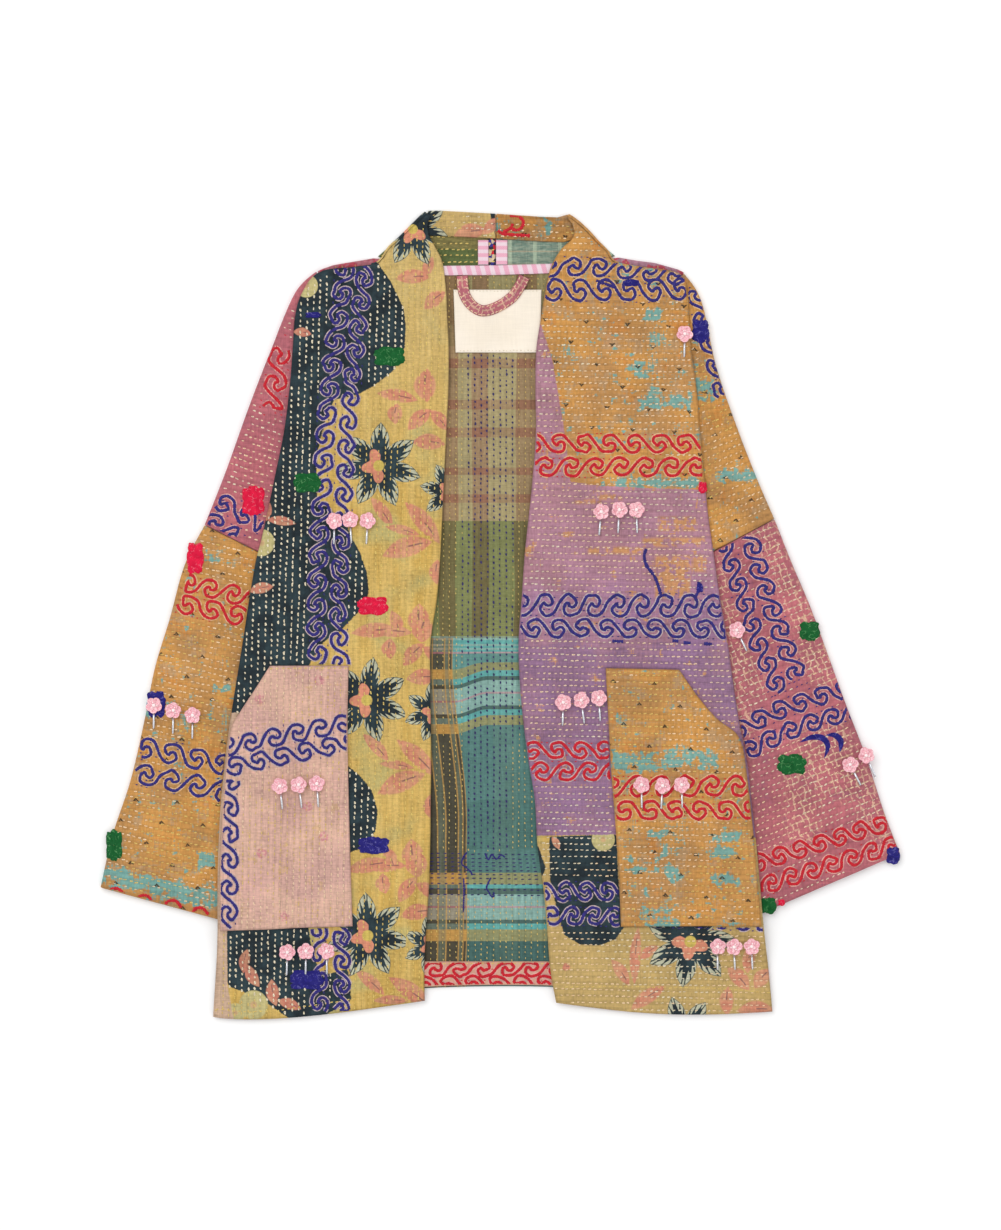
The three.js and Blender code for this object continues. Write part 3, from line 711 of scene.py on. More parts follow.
# The inside: three woven checks, one above the other, each with its own bands across and stripes down.
def paintPlaid(place):
    parts = split(place)
    teal, aqua, dark, deep = dye(86, 126, 120), dye(148, 186, 176), dye(74, 98, 92), dye(76, 66, 50)
    bright, gilt, pink = dye(100, 176, 172), dye(156, 150, 98), dye(190, 154, 160)
    moss, khaki, rosy = dye(128, 132, 84), dye(168, 154, 112), dye(148, 98, 80)
    lower = [(-404, dye(62, 94, 90)), (-326, gilt), (-315.5, bright), (-309, dark), (-304.5, aqua),
             (-293, pink), (-291.5, aqua), (-279, dark), (-274, bright), (-269.5, gilt), (-258.5, teal),
             (-235, dye(76, 114, 108)), (-190, teal), (-119.5, gilt), (-109.5, bright), (-104, dark),
             (-100, aqua), (-89, pink), (-87.5, aqua), (-75, dark), (-71, bright), (-65, gilt),
             (-55, dye(100, 148, 142)), (-40, pink), (-38.5, bright), (-36, aqua), (-34, bright),
             (-31, aqua), (-29, bright), (-26, aqua), (-23, moss), (94, khaki)]
    upper = [(94, khaki), (112, rosy), (120, khaki), (139, rosy), (146.5, khaki), (177, rosy), (187, khaki),
             (205, rosy), (214, khaki), (245.5, rosy), (256, khaki), (268, moss), (290, dye(106, 104, 58)),
             (372, dye(104, 134, 112))]
    sway = times(mask(parts[1], -220.0, -150.0), fade(parts[1], -52.0, -36.0))
    sway = times(sway, times(mask(parts[0], -46.0, -12.0), 9.0))
    low = bandRamp(minus(parts[1], sway), -404.0, 96.0, lower)
    high = bandRamp(parts[1], 94.0, 404.0, upper)
    aside = times(minus(noise(place, 0.008, 1.0), 0.5), 8.0)
    x = plus(parts[0], aside)
    brown = dye(104, 82, 54)
    under = bandRamp(x, -300.0, 300.0, [
        (-300, teal), (-8, dye(110, 138, 122)), (15, teal), (58, deep), (90, teal)])
    between = bandRamp(x, -300.0, 300.0, [
        (-300, moss), (-61, brown), (-45, moss), (-30, brown), (-13, moss), (14, brown), (26, moss),
        (60, brown), (80, moss)])
    highest = bandRamp(x, -300.0, 300.0, [
        (-300, khaki), (-62, dye(150, 112, 84)), (-44, khaki), (-29, dye(150, 112, 88)), (-12, khaki),
        (15, dye(146, 112, 84)), (36, khaki), (62, dye(150, 112, 88)), (80, khaki)])
    middle = above(parts[1], -23.0)
    top = above(parts[1], 94.0)
    weft = over(top, low, high)
    warp = over(top, over(middle, under, between), highest)
    grain = mask(noise(place, 0.9, 2.0, (1.0, 0.08, 1.0)), 0.35, 0.65)
    share = plus(plus(0.14, times(middle, 0.38)), times(grain, 0.18))
    plaid = over(share, weft, warp)
    # the brown stripes down the side of the lowest check, with gold lines that drift as they go down
    drift = plus(x, times(mask(parts[1], -221.0, -38.0), 13.0))
    inBrown = {gilt: dye(190, 142, 72), bright: dye(104, 108, 92), aqua: dye(146, 134, 114),
               pink: dye(150, 96, 96)}
    brownWeft = bandRamp(parts[1], -404.0, 96.0, [(at, inBrown.get(colour, deep)) for at, colour in lower])
    none, full = dye(0, 0, 0), dye(255, 255, 255)
    strips = bandRamp(drift, -90.0, -30.0,
                      [(-90, none), (-63, full), (-55, none), (-42.5, full), (-38, none)])
    lines = bandRamp(drift, -90.0, -30.0, [
        (-90, none), (-64.2, full), (-62.8, none), (-56, full), (-54.6, none), (-43.2, full), (-41.8, none),
        (-38.6, full), (-37.4, none), (-35, full), (-33.8, none)])
    brownWeft = coats(brownWeft, (times(strips, 0.5), dye(112, 120, 100)),
                      (times(lines, 0.85), dye(182, 140, 74)))
    inside = times(fade(drift, -34.5, -33.5), minus(1.0, middle))
    plaid = over(times(inside, 0.92), plaid, brownWeft)
    marks = mask(noise(place, 0.16, 2.0), 0.55, 0.6)
    outside = over(above(parts[0], 0.0), dye(176, 108, 118), dye(170, 124, 140))
    outside = over(times(marks, 0.8), outside, dye(190, 60, 80))
    return over(readValue("shoulder"), plaid, outside)


# Pink and white stripes across a strip, with a paler thread either way.
def paintStripes(measure, slant, width):
    def paint(place):
        value = plus(readValue(measure), times(readValue(slant), 0.3))
        phase = fract(divided(value, width))
        stripe = times(mask(phase, 0.02, 0.08), fade(phase, 0.52, 0.6))
        parts = split(place)
        thread = calc("SINE", times(plus(parts[0], parts[1]), 3.2))
        thread = times(mask(thread, -0.4, 0.6), 0.35)
        colour = over(stripe, dye(236, 214, 222), dye(232, 166, 188))
        return over(thread, colour, dye(240, 206, 218))
    return paint


# The inside of the stand collar: olive, a flecked seam, then sea-green checks.
def paintCollarInside(place):
    parts = split(place)
    grain = noise(place, 0.6, 3.0, (0.25, 1.0, 1.0))
    olive = over(mask(grain, 0.4, 0.6), dye(118, 110, 66), dye(134, 124, 74))
    olive = over(calc("LESS_THAN", parts[1], 366.0), olive, dye(92, 104, 60))
    bars = fract(divided(parts[0], 25.0))
    pale = times(mask(bars, 0.3, 0.34), fade(bars, 0.44, 0.5))
    teal = over(mask(grain, 0.4, 0.6), dye(114, 138, 124), dye(144, 158, 140))
    teal = over(times(pale, 0.8), teal, dye(176, 192, 166))
    lines = fract(divided(parts[1], 13.0))
    teal = over(times(above(lines, 0.9), 0.6), teal, dye(186, 168, 140))
    fleck = put("TexVoronoi", {"Vector": place, "Scale": 0.32}).outputs[1]
    tint = put("SeparateColor", {0: fleck}).outputs
    seam = over(above(tint[0], 0.5), dye(52, 50, 52), dye(216, 194, 160))
    seam = coats(seam, (above(tint[1], 0.68), dye(204, 40, 52)), (above(tint[2], 0.84), dye(64, 58, 140)))
    colour = over(above(parts[0], -12.5), olive, seam)
    return over(above(parts[0], -3.5), colour, teal)


# The outside of the back: pieced rose, purple and ochre, seen from below.
def paintBackOut(place):
    parts = split(place)
    wobble = times(noise(place, 0.01, 2.0), 30.0)
    half = above(plus(parts[0], wobble), 12.0)
    upper = over(half, paintRose(place), paintPurple(place))
    low = calc("LESS_THAN", parts[1], -70.0)
    return over(low, upper, paintOchre(place))


pale = dye(226, 208, 176)
cottons = {
    "print": cotton("flowerPrintCotton", paintFlowers),
    "leftFront": cotton("patchedCotton", paintLeftFront),
    "rightTurn": cotton("printedTurnCotton", paintLeftFront),
    # Painted shade: the wearer's left collar turn is a darker copy of the patched cotton, for the shadowed
    # crease at the collar.
    "leftTurn": cotton("shadedTurnCotton", paintLeftFront, level=0.7),
    "ochre": cotton("ochreCotton", paintOchre),
    "rose": cotton("roseCotton", paintRose),
    "blush": cotton("blushCotton", paintBlush),
    "plaid": cotton("plaidCotton", paintPlaid),
    "purpleUnder": cotton("purpleCottonUnder", paintPurple, pale),
    "ochreUnder": cotton("ochreCottonUnder", paintOchre, pale),
    "roseUnder": cotton("roseCottonUnder", paintRose, pale),
    "gingham": cotton("ginghamCotton", paintStripes("along", "across", 9.4), thread=0.6, quilted=False,
                      level=0.98),
    "tape": cotton("ginghamTapeCotton", paintStripes("across", "across", 9.6), thread=0.6, quilted=False,
                   level=0.98),
    "collarInside": cotton("collarInsideCotton", paintCollarInside),
    "backOut": cotton("backOutsideCotton", paintBackOut, pale),
    "label": cotton("labelCotton", paintPlain(dye(243, 232, 216), dye(240, 228, 210)), thread=0.5,
                    quilted=False, level=0.97),
    "hemBand": cotton("hemBandCotton", paintPlain(dye(220, 174, 148), dye(212, 160, 138)), quilted=False),
}
print("cottons made")


# Printed flowers, leaves and discs: the nearest one is written to each corner of a face, as a small map.
def printMotifs(piece, name, motifs):
    mesh = piece.data
    points = np.empty(len(mesh.vertices) * 3, np.float32)
    mesh.vertices.foreach_get("co", points)
    points = points.reshape(-1, 3)[:, :2] * 1000
    corners = np.empty(len(mesh.loops), np.int32)
    mesh.loops.foreach_get("vertex_index", corners)
    motifs = np.asarray(motifs, float)
    centre = spots(motifs[:, :2])
    size, turn = motifs[:, 2], np.radians(motifs[:, 3])
    slim = motifs[:, 4] if motifs.shape[1] > 4 else np.ones(len(motifs))
    at = points[corners]

    def local(place, which):
        away = place - centre[which]
        c, s = np.cos(turn[which]), np.sin(turn[which])
        x = (away[..., 0] * c + away[..., 1] * s) / size[which]
        return x, (away[..., 1] * c - away[..., 0] * s) / (size[which] * slim[which])

    middle = at.reshape(-1, 4, 2).mean(1)
    nearest = np.repeat(np.hypot(*local(middle[:, None], np.arange(len(motifs))[None])).argmin(1), 4)
    x, y = local(at, nearest)
    layer = mesh.attributes.new(name, "FLOAT_VECTOR", "CORNER")
    layer.data.foreach_set("vector", np.stack([x, y, np.zeros_like(x)], 1).astype(np.float32).ravel())


def rowPlace(angle, x, y):
    a = math.radians(angle)
    return y * math.cos(a) - x * math.sin(a), x * math.cos(a) + y * math.sin(a)


outlines = {}


def keepOutline(name, grid):
    ring = np.concatenate([grid[0, :-1], grid[:-1, -1], grid[-1, :0:-1], grid[:0:-1, 0]])
    outlines[name] = ring[::max(1, len(ring) // 160), :2]


# The two fronts, each in one piece from hem to the fold of its collar.
rightCreases = [
    (300, 560, 330, 700, 14, 1.0), (356, 520, 345, 640, 16, 0.9), (404, 560, 396, 930, 18, 0.9),
    (300, 400, 282, 620, 12, 0.8), (240, 968, 330, 950, 16, 0.8), (436, 300, 436, 900, 7, 0.6),
    (395, 250, 410, 300, 12, 0.8), (352, 290, 330, 360, 15, 0.7),
]
leftCreases = [
    (560, 655, 620, 664, 9, 1.4), (604, 662, 712, 655, 10, 1.0), (548, 560, 560, 760, 15, 0.8),
    (620, 300, 690, 360, 20, 0.8), (696, 350, 712, 520, 12, 1.0), (556, 300, 545, 520, 8, 0.7),
    (600, 965, 745, 960, 18, 0.9), (590, 400, 640, 520, 20, 0.6), (690, 560, 728, 640, 14, 0.8),
    (629, 932, 631, 1012, 3.5, 1.1), (606, 936, 616, 980, 4, 0.7),
]
frontLook = {
    "right": {"table": right, "creases": rightCreases, "angle": 88.2, "columns": 150, "rows": 200},
    "left": {"table": left, "creases": leftCreases, "angle": -1.2, "columns": 62, "rows": 560},
}


def frontTop(which, x, y):
    look = frontLook[which]
    return frontFloor(look["table"], x, y) + creases(look["creases"], x, y) + cloth["wall"]


def frontGrid(which):
    look = frontLook[which]
    side = look["table"]
    table = side["rows"]
    last = len(table) - 1
    stops = evenStops(table, look["rows"])
    ends = alongTable(table, stops)
    neck, tip = table[neckRow, :2], table[last, :2]
    run = (tip - neck) / np.linalg.norm(tip - neck)
    inward = np.array([run[1], -run[0]]) * side["inward"]
    radius = mix(2.15, 3.45, ramp(stops, neckRow, last))
    ends[:, :2] += inward * (radius * ramp(stops, neckRow - 0.3, neckRow + 0.6))[:, None]
    u = np.linspace(0, 1, look["columns"])[None, :]
    stop = stops[:, None]
    x = mix(ends[:, 0:1], ends[:, 2:3], u)
    y = mix(ends[:, 1:2], ends[:, 3:4], u)
    bow = 0.7 if side["inward"] > 0 else 1.0
    y = y - 7 * ramp(stop, 1, 0) * np.sin(math.pi * u ** bow)
    floor = frontTop(which, x, np.minimum(y, 338)) - cloth["wall"]
    folded = 2.3 + fronts["foldLift"] * np.maximum(soft(u, 0, 0.4), ramp(stop, neckRow, last))
    z = np.maximum(2.3, mix(floor, folded, soft(stop, shoulderRow, neckRow)))
    fold = {"start": ends[:, :2], "radius": radius, "inward": inward, "keep": stops >= neckRow - 0.2}
    return np.stack([x, y, z], 2), fold


# Printed patches of the fronts, as outlines in the picture.
darkPatches = [
    [(180, 240), (377, 262), (391, 282), (404, 309), (406, 326), (405, 348), (394, 371), (373, 387),
     (358, 395), (335, 400), (325, 420), (318, 450), (316, 480), (318, 500), (345, 520), (352, 538),
     (360, 552), (367, 572), (369, 590), (366, 605), (350, 621), (340, 632), (326, 640), (318, 650),
     (308, 668), (300, 700), (244, 717), (180, 722)],
    [(330, 764), (346, 764), (360, 775), (372, 790), (378, 810), (376, 830), (366, 846), (346, 854),
     (330, 854)],
    [(227, 920), (308, 920), (312, 950), (322, 975), (348, 968), (352, 1000), (330, 1012), (306, 1030),
     (270, 1004), (246, 992), (228, 985)],
]
purplePatches = [
    [(480, 325), (541, 325), (552, 360), (563, 425), (570, 482), (600, 486), (640, 488), (698, 490),
     (790, 492), (790, 700), (780, 838), (480, 836)],
]
printPatches = [[(480, 836), (620, 834), (800, 838), (800, 1040), (480, 1040)]]
leftDark = [[(549, 836), (616, 834), (618, 878), (624, 926), (616, 938), (600, 945), (580, 944), (564, 934),
             (556, 905), (550, 880)], [(480, 842), (538, 846), (546, 868), (538, 880), (480, 884)]]


def box(left, top, right, bottom):
    return [(left, top), (right, top), (right, bottom), (left, bottom)]


turquoiseBars = [box(601, 478, 698, 488), box(640, 395, 690, 410), box(596, 439, 640, 446),
                 box(706, 464, 740, 480), box(642, 310, 664, 320), box(630, 362, 646, 378),
                 box(722, 640, 731, 644), box(636, 641, 668, 643)]
orangeBars = [box(590, 494, 622, 500), box(658, 517, 696, 531), box(588, 547, 642, 554),
              box(642, 538, 704, 547), box(655, 556, 690, 598), box(692, 556, 706, 572),
              box(575, 500, 600, 504), box(580, 622, 600, 632)]
beigePatches = [[(180, 716), (240, 712), (240, 926), (228, 927), (228, 985), (234, 1018), (240, 1030),
                 (180, 1030)]]
flowerSpots = [
    (379, 466, 44, 10), (367, 700, 44, 4), (368, 935, 44, 16), (450, 492, 31, 40), (434, 712, 31, 70),
    (432, 945, 30, 25), (413, 230, 39, 62), (690, 941, 47, 80), (683, 1034, 40, 30),
]
# place from the flower, half length, turn and slimness of each leaf of one repeat
leafPlaces = [
    (46, -80, 16, 90, 0.55), (19, -70, 20, -10, 0.26), (16, -52, 10, 84, 0.6), (40, -47, 15, 40, 0.4),
    (61, -46, 13, -48, 0.4), (50, -24, 16, -4, 0.4), (4, 46, 18, -54, 0.28), (45, 56, 26, -50, 0.26),
    (28, 81, 25, 16, 0.32), (24, 64, 17, -14, 0.22), (57, 106, 12, 88, 0.45), (-4, 164, 23, 4, 0.26),
    (18, 157, 13, -72, 0.4), (43, 163, 13, 80, 0.7),
]
leafSpots = [
    (379 - 6 * k + x, 466 + 234.5 * k + y, size, turn + 7 * k, slim)
    for k in (0, 1, 2) for x, y, size, turn, slim in leafPlaces
]
leafSpots += [
    (413, 277, 17, 2, 0.34), (434, 300, 13, 40, 0.45), (428, 268, 11, 70, 0.4), (303, 333, 9, -8, 0.4),
    (282, 521, 14, -8, 0.26), (268, 512, 9, 80, 0.4), (262, 588, 12, 12, 0.36), (245, 960, 12, 80, 0.36),
    (273, 992, 13, 100, 0.4), (290, 1003, 12, -20, 0.36), (252, 975, 13, 120, 0.36), (470, 232, 16, 10, 0.4),
    (492, 226, 12, 40, 0.4), (635, 955, 28, 86, 0.16), (621, 971, 15, -56, 0.32), (647, 996, 20, 34, 0.28),
    (648, 951, 11, 36, 0.36), (739, 977, 15, -46, 0.42), (761, 977, 12, 50, 0.5), (726, 1000, 14, 88, 0.4),
    (755, 1008, 18, 2, 0.36), (748, 958, 14, 80, 0.36), (566, 966, 4, 10, 0.8), (556, 842, 7, -60, 0.4),
]
discSpots = [(307, 287, 12, 0), (262, 543, 14, 0), (254, 1004, 15, 0), (236, 1012, 10, 0), (603, 839, 12, 0),
             (340, 800, 9, 0)]
pocketDots = [(320, 680, 6, 0), (261, 699, 6, 0), (308, 806, 6, 0), (324, 836, 6, 0), (263, 852, 6, 0),
              (285, 915, 6, 0)]


def printAll(piece):
    for label, motifs in (("flowerAt", flowerSpots), ("leafAt", leafSpots), ("discAt", discSpots)):
        printMotifs(piece, label, motifs)


def patchValues(grid, table):
    x, y = grid[..., 0], grid[..., 1]
    return {name: insideAny(patches, x, y) for name, patches in table.items()}


def edgeValues(name, grid):
    return insideOutline(outlines[name], grid[..., 0], grid[..., 1])


def rowRelief(angle, grid, share=1.0):
    across, along = rowPlace(angle, grid[..., 0], grid[..., 1])
    return across, along, quilting(across, along) * share


def makeFront(which, material, under, patches):
    look = frontLook[which]
    name = which + "_front"
    grid, fold = frontGrid(which)
    keepOutline(name, grid)
    edge = edgeValues(name, grid)
    across, along, relief = rowRelief(look["angle"], grid, soft(edge, 1.0, 6.0))
    values = {"across": across, "along": along, "edge": edge, **patchValues(grid, patches)}
    flip = which == "left"
    piece = clothShell(name, grid, cloth["wall"] + relief, [material, under], flip=flip, values=values)
    keep = fold["keep"]
    turn = np.linspace(1.15, -1.0, 9)[None, :] * math.pi / 2
    inner = (fold["radius"][keep] - cloth["wall"])[:, None]
    reach = -np.cos(turn) * inner
    centre = fold["start"][keep]
    roll = np.stack([centre[:, 0:1] + fold["inward"][0] * reach, centre[:, 1:2] + fold["inward"][1] * reach,
                     fold["radius"][keep][:, None] + np.sin(turn) * inner], 2)
    rollValues = {"across": rowPlace(look["angle"], roll[..., 0], roll[..., 1])[0], "along": roll[..., 1],
                  "edge": np.full(roll.shape[:2], 20.0), **patchValues(roll, patches)}
    rollPiece = clothShell(which + "_collar_fold", roll, cloth["wall"], [material], flip=which == "right",
                           values=rollValues)
    for made in (piece, rollPiece):
        printAll(made)
    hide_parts(name)


makeFront("right", cottons["print"], cottons["purpleUnder"], {"dark": darkPatches, "beige": beigePatches})
makeFront(
    "left", cottons["leftFront"], cottons["roseUnder"],
    {"dark": leftDark, "beige": beigePatches, "purple": purplePatches, "print": printPatches,
     "bars": turquoiseBars, "orange": orangeBars})
print("fronts made")

# The patch pockets, a little above the fronts that they are sewn to.
pockets = {
    "right": {
        "rows": [(-278.5, -314.5, -147, -310.5), (-279, -265, -148.5, -265), (-277, -215, -150, -215),
                 (-274, -165, -151.2, -165), (-268, -115, -152, -115), (-259, -97, -152, -97),
                 (-244, -74, -151.5, -74), (-229, -50.5, -151, -50.5)],
        "angle": 89.0, "columns": 94, "count": 78, "cloth": "blush",
    },
    "left": {
        "rows": [(260.5, -310, 120.6, -311), (256.5, -265, 118.7, -265), (252, -215, 115.5, -215),
                 (246.5, -165, 111.5, -165), (238.5, -123, 109, -123), (216, -103, 108, -103),
                 (198, -82, 106.8, -82), (179, -54.5, 105.3, -52.7)],
        "angle": -1.5, "columns": 44, "count": 190, "cloth": "ochre",
    },
    "gap": 0.9,
}


def makePocket(which):
    look = pockets[which]
    stops = evenStops(look["rows"], look["count"])
    ends = alongTable(look["rows"], stops)
    u = np.linspace(0, 1, look["columns"])[None, :]
    x = mix(ends[:, 0:1], ends[:, 2:3], u)
    y = mix(ends[:, 1:2], ends[:, 3:4], u)
    grid = np.stack([x, y, frontTop(which, x, y) + pockets["gap"]], 2)
    name = which + "_pocket"
    keepOutline(name, grid)
    edge = edgeValues(name, grid)
    across, along, relief = rowRelief(look["angle"], grid, soft(edge, 1.0, 6.0) * 0.8)
    values = {"across": across, "along": along, "edge": edge, "bars": insideAny(pocketBars, x, y)}
    material = cottons[look["cloth"]]
    piece = clothShell(name, grid, cloth["wall"] + relief, [material, cottons["ochreUnder"]],
                       flip=which == "left", values=values)
    printMotifs(piece, "discAt", pocketDots)
    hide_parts(name)


pocketBars = [
    box(645, 830, 677, 839), box(710, 830, 738, 841), box(662, 843, 677, 855), box(664, 863, 679, 880),
    box(626, 867, 659, 872), box(710, 845, 737, 858), box(710, 872, 741, 884), box(642, 907, 677, 912),
    box(640, 915, 677, 919), box(644, 921, 680, 927), box(613, 752, 657, 771), box(664, 749, 717, 767),
    box(720, 920, 744, 925), box(644, 886, 661, 891), box(622, 857, 656, 861),
]
makePocket("right")
makePocket("left")

# The sleeves, flat tubes of two lengths, each narrowing towards the shoulder.
sleeves = {
    "right_sleeve_upper": {
        "rows": [(-182, 343.5, -228, 85), (-203, 322, -227, 79), (-228, 263, -226.5, 73),
                 (-250, 207, -226, 67), (-272, 147, -225.5, 61), (-295, 90, -225, 55)],
        "count": 170, "angle": -14.0, "cloth": "rose", "under": "roseUnder",
        "creases": [(270, 400, 240, 480, 10, 0.9), (300, 300, 262, 420, 9, 0.7)],
    },
    "right_sleeve_lower": {
        "rows": [(-295.1, 89.7, -225.1, 54.7), (-315, 50, -225.5, 20), (-330, -4, -227.5, -35),
                 (-344.5, -52, -230, -88), (-355.5, -107, -232.5, -145), (-369, -165, -235, -200),
                 (-387, -220, -237.5, -258), (-399, -272, -240, -315)],
        "count": 290, "angle": -14.0, "cloth": "ochre", "under": "ochreUnder",
        "creases": [(205, 560, 170, 720, 14, 1.0), (180, 720, 150, 880, 16, 0.9),
                    (215, 700, 205, 880, 12, 0.7)],
    },
    "left_sleeve_upper": {
        "rows": [(182, 342, 200, 87), (199, 315, 199.5, 80.5), (214, 250, 199, 74), (236, 187, 198.3, 67.5),
                 (256, 137, 197.7, 61), (274, 96, 197, 55)],
        "count": 170, "angle": 21.7, "cloth": "ochre", "under": "ochreUnder",
        "creases": [(700, 340, 735, 450, 9, 0.9), (712, 480, 765, 500, 12, 0.8)],
    },
    "left_sleeve_lower": {
        "rows": [(274.1, 95.7, 197.1, 54.7), (291, 53, 200, 22), (310, 8, 207, -28), (327, -38, 214, -82),
                 (345, -88, 221.5, -140), (365, -140, 229, -196), (384, -198, 237, -251),
                 (399.5, -238, 244, -305)],
        "count": 270, "angle": 21.7, "cloth": "rose", "under": "roseUnder",
        "creases": [(790, 560, 825, 700, 14, 0.9), (770, 760, 850, 860, 16, 0.9),
                    (748, 600, 770, 700, 12, 0.7)],
    },
    "inset": 3.3,
    "foldRadius": 1.3,
}
sleeveBars = [
    [(100, 864), (140, 872), (172, 880), (220, 890), (218, 911), (186, 904), (140, 892), (100, 884)],
    box(690, 380, 714, 402), box(716, 470, 760, 481), box(199, 851, 214, 866), box(215, 684, 232, 692),
    box(140, 700, 152, 716),
]
nettedPatches = [
    [(795, 735), (838, 715), (880, 800), (905, 850), (880, 850), (852, 800), (800, 790)],
    [(785, 775), (820, 780), (815, 845), (790, 850)], [(722, 700), (745, 700), (745, 870), (728, 870)],
    [(748, 532), (772, 518), (790, 570), (812, 620), (822, 660), (802, 640), (785, 605), (765, 560)],
    [(712, 560), (722, 556), (735, 620), (752, 660), (765, 690), (745, 700), (726, 690)],
    [(796, 644), (832, 640), (850, 690), (826, 684), (806, 676)],
    [(722, 700), (760, 716), (750, 740), (734, 740)],
]


def makeSleeve(name):
    look = sleeves[name]
    stops = evenStops(look["rows"], look["count"])
    ends = alongTable(look["rows"], stops)
    outside, run = ends[:, 0:2], ends[:, 2:4] - ends[:, 0:2]
    width = np.linalg.norm(run, axis=1, keepdims=True)
    run = run / width
    fold = 6
    across = np.concatenate([np.linspace(0, 1, 16), np.ones(fold), np.linspace(1, 0, 30), np.zeros(fold)])
    bend = np.linspace(0, 1, fold + 2)[1:-1]
    turn = np.concatenate([np.full(16, -0.5), bend - 0.5, np.full(30, 0.5), bend + 0.5])
    inset, radius = sleeves["inset"], sleeves["foldRadius"]
    reach = mix(inset, width - inset, across[None, :]) + np.cos(math.pi * turn)[None, :] * radius
    x = outside[:, 0:1] + run[:, 0:1] * reach
    y = outside[:, 1:2] + run[:, 1:2] * reach
    z = np.broadcast_to(inset + np.sin(math.pi * turn)[None, :] * radius, x.shape)
    top = soft(np.sin(math.pi * turn), 0.3, 1.0)[None, :]
    body = outlines["right_front" if "right" in name else "left_front"]
    bare = soft(insideOutline(body, x, y), 1.0, -6.0)
    z = z + creases(look["creases"], x, y) * top * bare
    grid = np.stack([x, y, z], 2)
    keepOutline(name, grid[:, 16 + fold:16 + fold + 30])
    outer = np.concatenate([outside + run * 0.8, (ends[:, 2:4] - run * 0.8)[::-1]])
    outlines[name] = outer[::5]
    edge = insideOutline(outer[::3], x, y)
    rowAcross, rowAlong, relief = rowRelief(look["angle"], grid)
    seam = soft(np.minimum(stops, len(look["rows"]) - 1 - stops)[:, None], 0, 0.12)
    values = {"across": rowAcross, "along": rowAlong, "edge": np.maximum(edge, 1.2),
              "bars": insideAny(sleeveBars, x, y), "netted": soft(insideAny(nettedPatches, x, y), -12, 10)}
    piece = clothShell(name, grid, cloth["wall"] + relief * top * bare * seam,
                       [cottons[look["cloth"]], cottons[look["under"]]], around=True, flip="left" in name,
                       values=values)
    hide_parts(name)


for sleeveName in ("right_sleeve_upper", "right_sleeve_lower", "left_sleeve_upper", "left_sleeve_lower"):
    makeSleeve(sleeveName)
print("pockets and sleeves made")

# The back in one piece, inside face up between the fronts.
back = {
    "rows": [(-284, -397, 270, -393, 24), (-281.5, -353, 266, -353, 6), (-279.5, -318, 261.5, -318, 0),
             (-279.5, -275, 257.5, -275, 0), (-278.5, -230, 253.5, -230, 0), (-276, -185, 248.5, -185, 0),
             (-272, -147, 244.3, -147, 0), (-267, -107, 236.5, -107, 0), (-260.5, -65, 230, -65, 0),
             (-254, -25, 224.5, -25, 0), (-248, 15, 217.5, 15, 0), (-246, 35, 215, 35, 0),
             (-222, 53, 194, 53, 0), (-219, 75, 190, 75, 0), (-223.5, 85, 196, 85, 0),
             (-215, 145, 194, 145, 0), (-208.6, 185, 191.5, 185, 0), (-201.2, 225, 188.4, 225, 0),
             (-193.7, 265, 185.2, 265, 0), (-187.8, 297, 182.7, 297, 0), (-181, 325, 180, 325, 0)],
    "top": [(-182, 344), (-178.5, 345.8), (-166, 350), (-124, 357), (-100, 349.5), (-57, 344), (-4, 344.4),
            (49, 346), (92, 351), (117, 357.6), (137, 354.3), (155, 352), (180, 345), (183.5, 342.8)],
    "angle": 90.0,
    "seen": (-92.0, 78.0),
}


def backTop(x):
    table = np.array(back["top"], float)
    return np.interp(x, table[:, 0], table[:, 1])


def makeBack():
    table = np.array(back["rows"], float)
    stops = np.linspace(0, len(table) - 1, 140)
    low = np.clip(stops.astype(int), 0, len(table) - 2)
    ends = table[low] + (table[low + 1] - table[low]) * (stops - low)[:, None]
    first, last = back["seen"]
    share = np.concatenate([np.linspace(0, 0.345, 26)[:-1], np.linspace(0.345, 0.665, 118),
                            np.linspace(0.665, 1, 22)[1:]])[None, :]
    x = mix(ends[:, 0:1], ends[:, 2:3], share)
    y = mix(ends[:, 1:2], ends[:, 3:4], share) + ends[:, 4:5] * 4 * share * (1 - share)
    topX = mix(-182.0, 183.5, share)
    topY = backTop(topX)
    rise = 1.8 * np.maximum(ramp(topX, -128, -136), ramp(topX, 121, 129))
    x = np.concatenate([x, mix(x[-1:], topX, 0.5), topX, topX])
    y = np.concatenate([y, mix(y[-1:], topY - 4.8, 0.55), topY - 4.8, topY])
    z = backFloor(x, y)
    z[-1:] = rise
    grid = np.stack([x, y, z], 2)
    keepOutline("back_panel", grid)
    seen = soft(x, first, first + 8) * soft(x, last, last - 8) * soft(y, 345, 332) * soft(y, -404, -390)
    across, along, relief = rowRelief(back["angle"], grid, seen)
    shoulder = soft(y, backTop(x) - 10, backTop(x) - 6) * soft(np.abs(x), 54, 60)
    values = {"across": across, "along": along, "edge": np.full(x.shape, 20.0), "shoulder": shoulder}
    piece = clothShell("back_panel", grid, cloth["wall"] + relief, [cottons["plaid"], cottons["backOut"]],
                       values=values)
    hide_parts("back_panel")


makeBack()
print("back made")


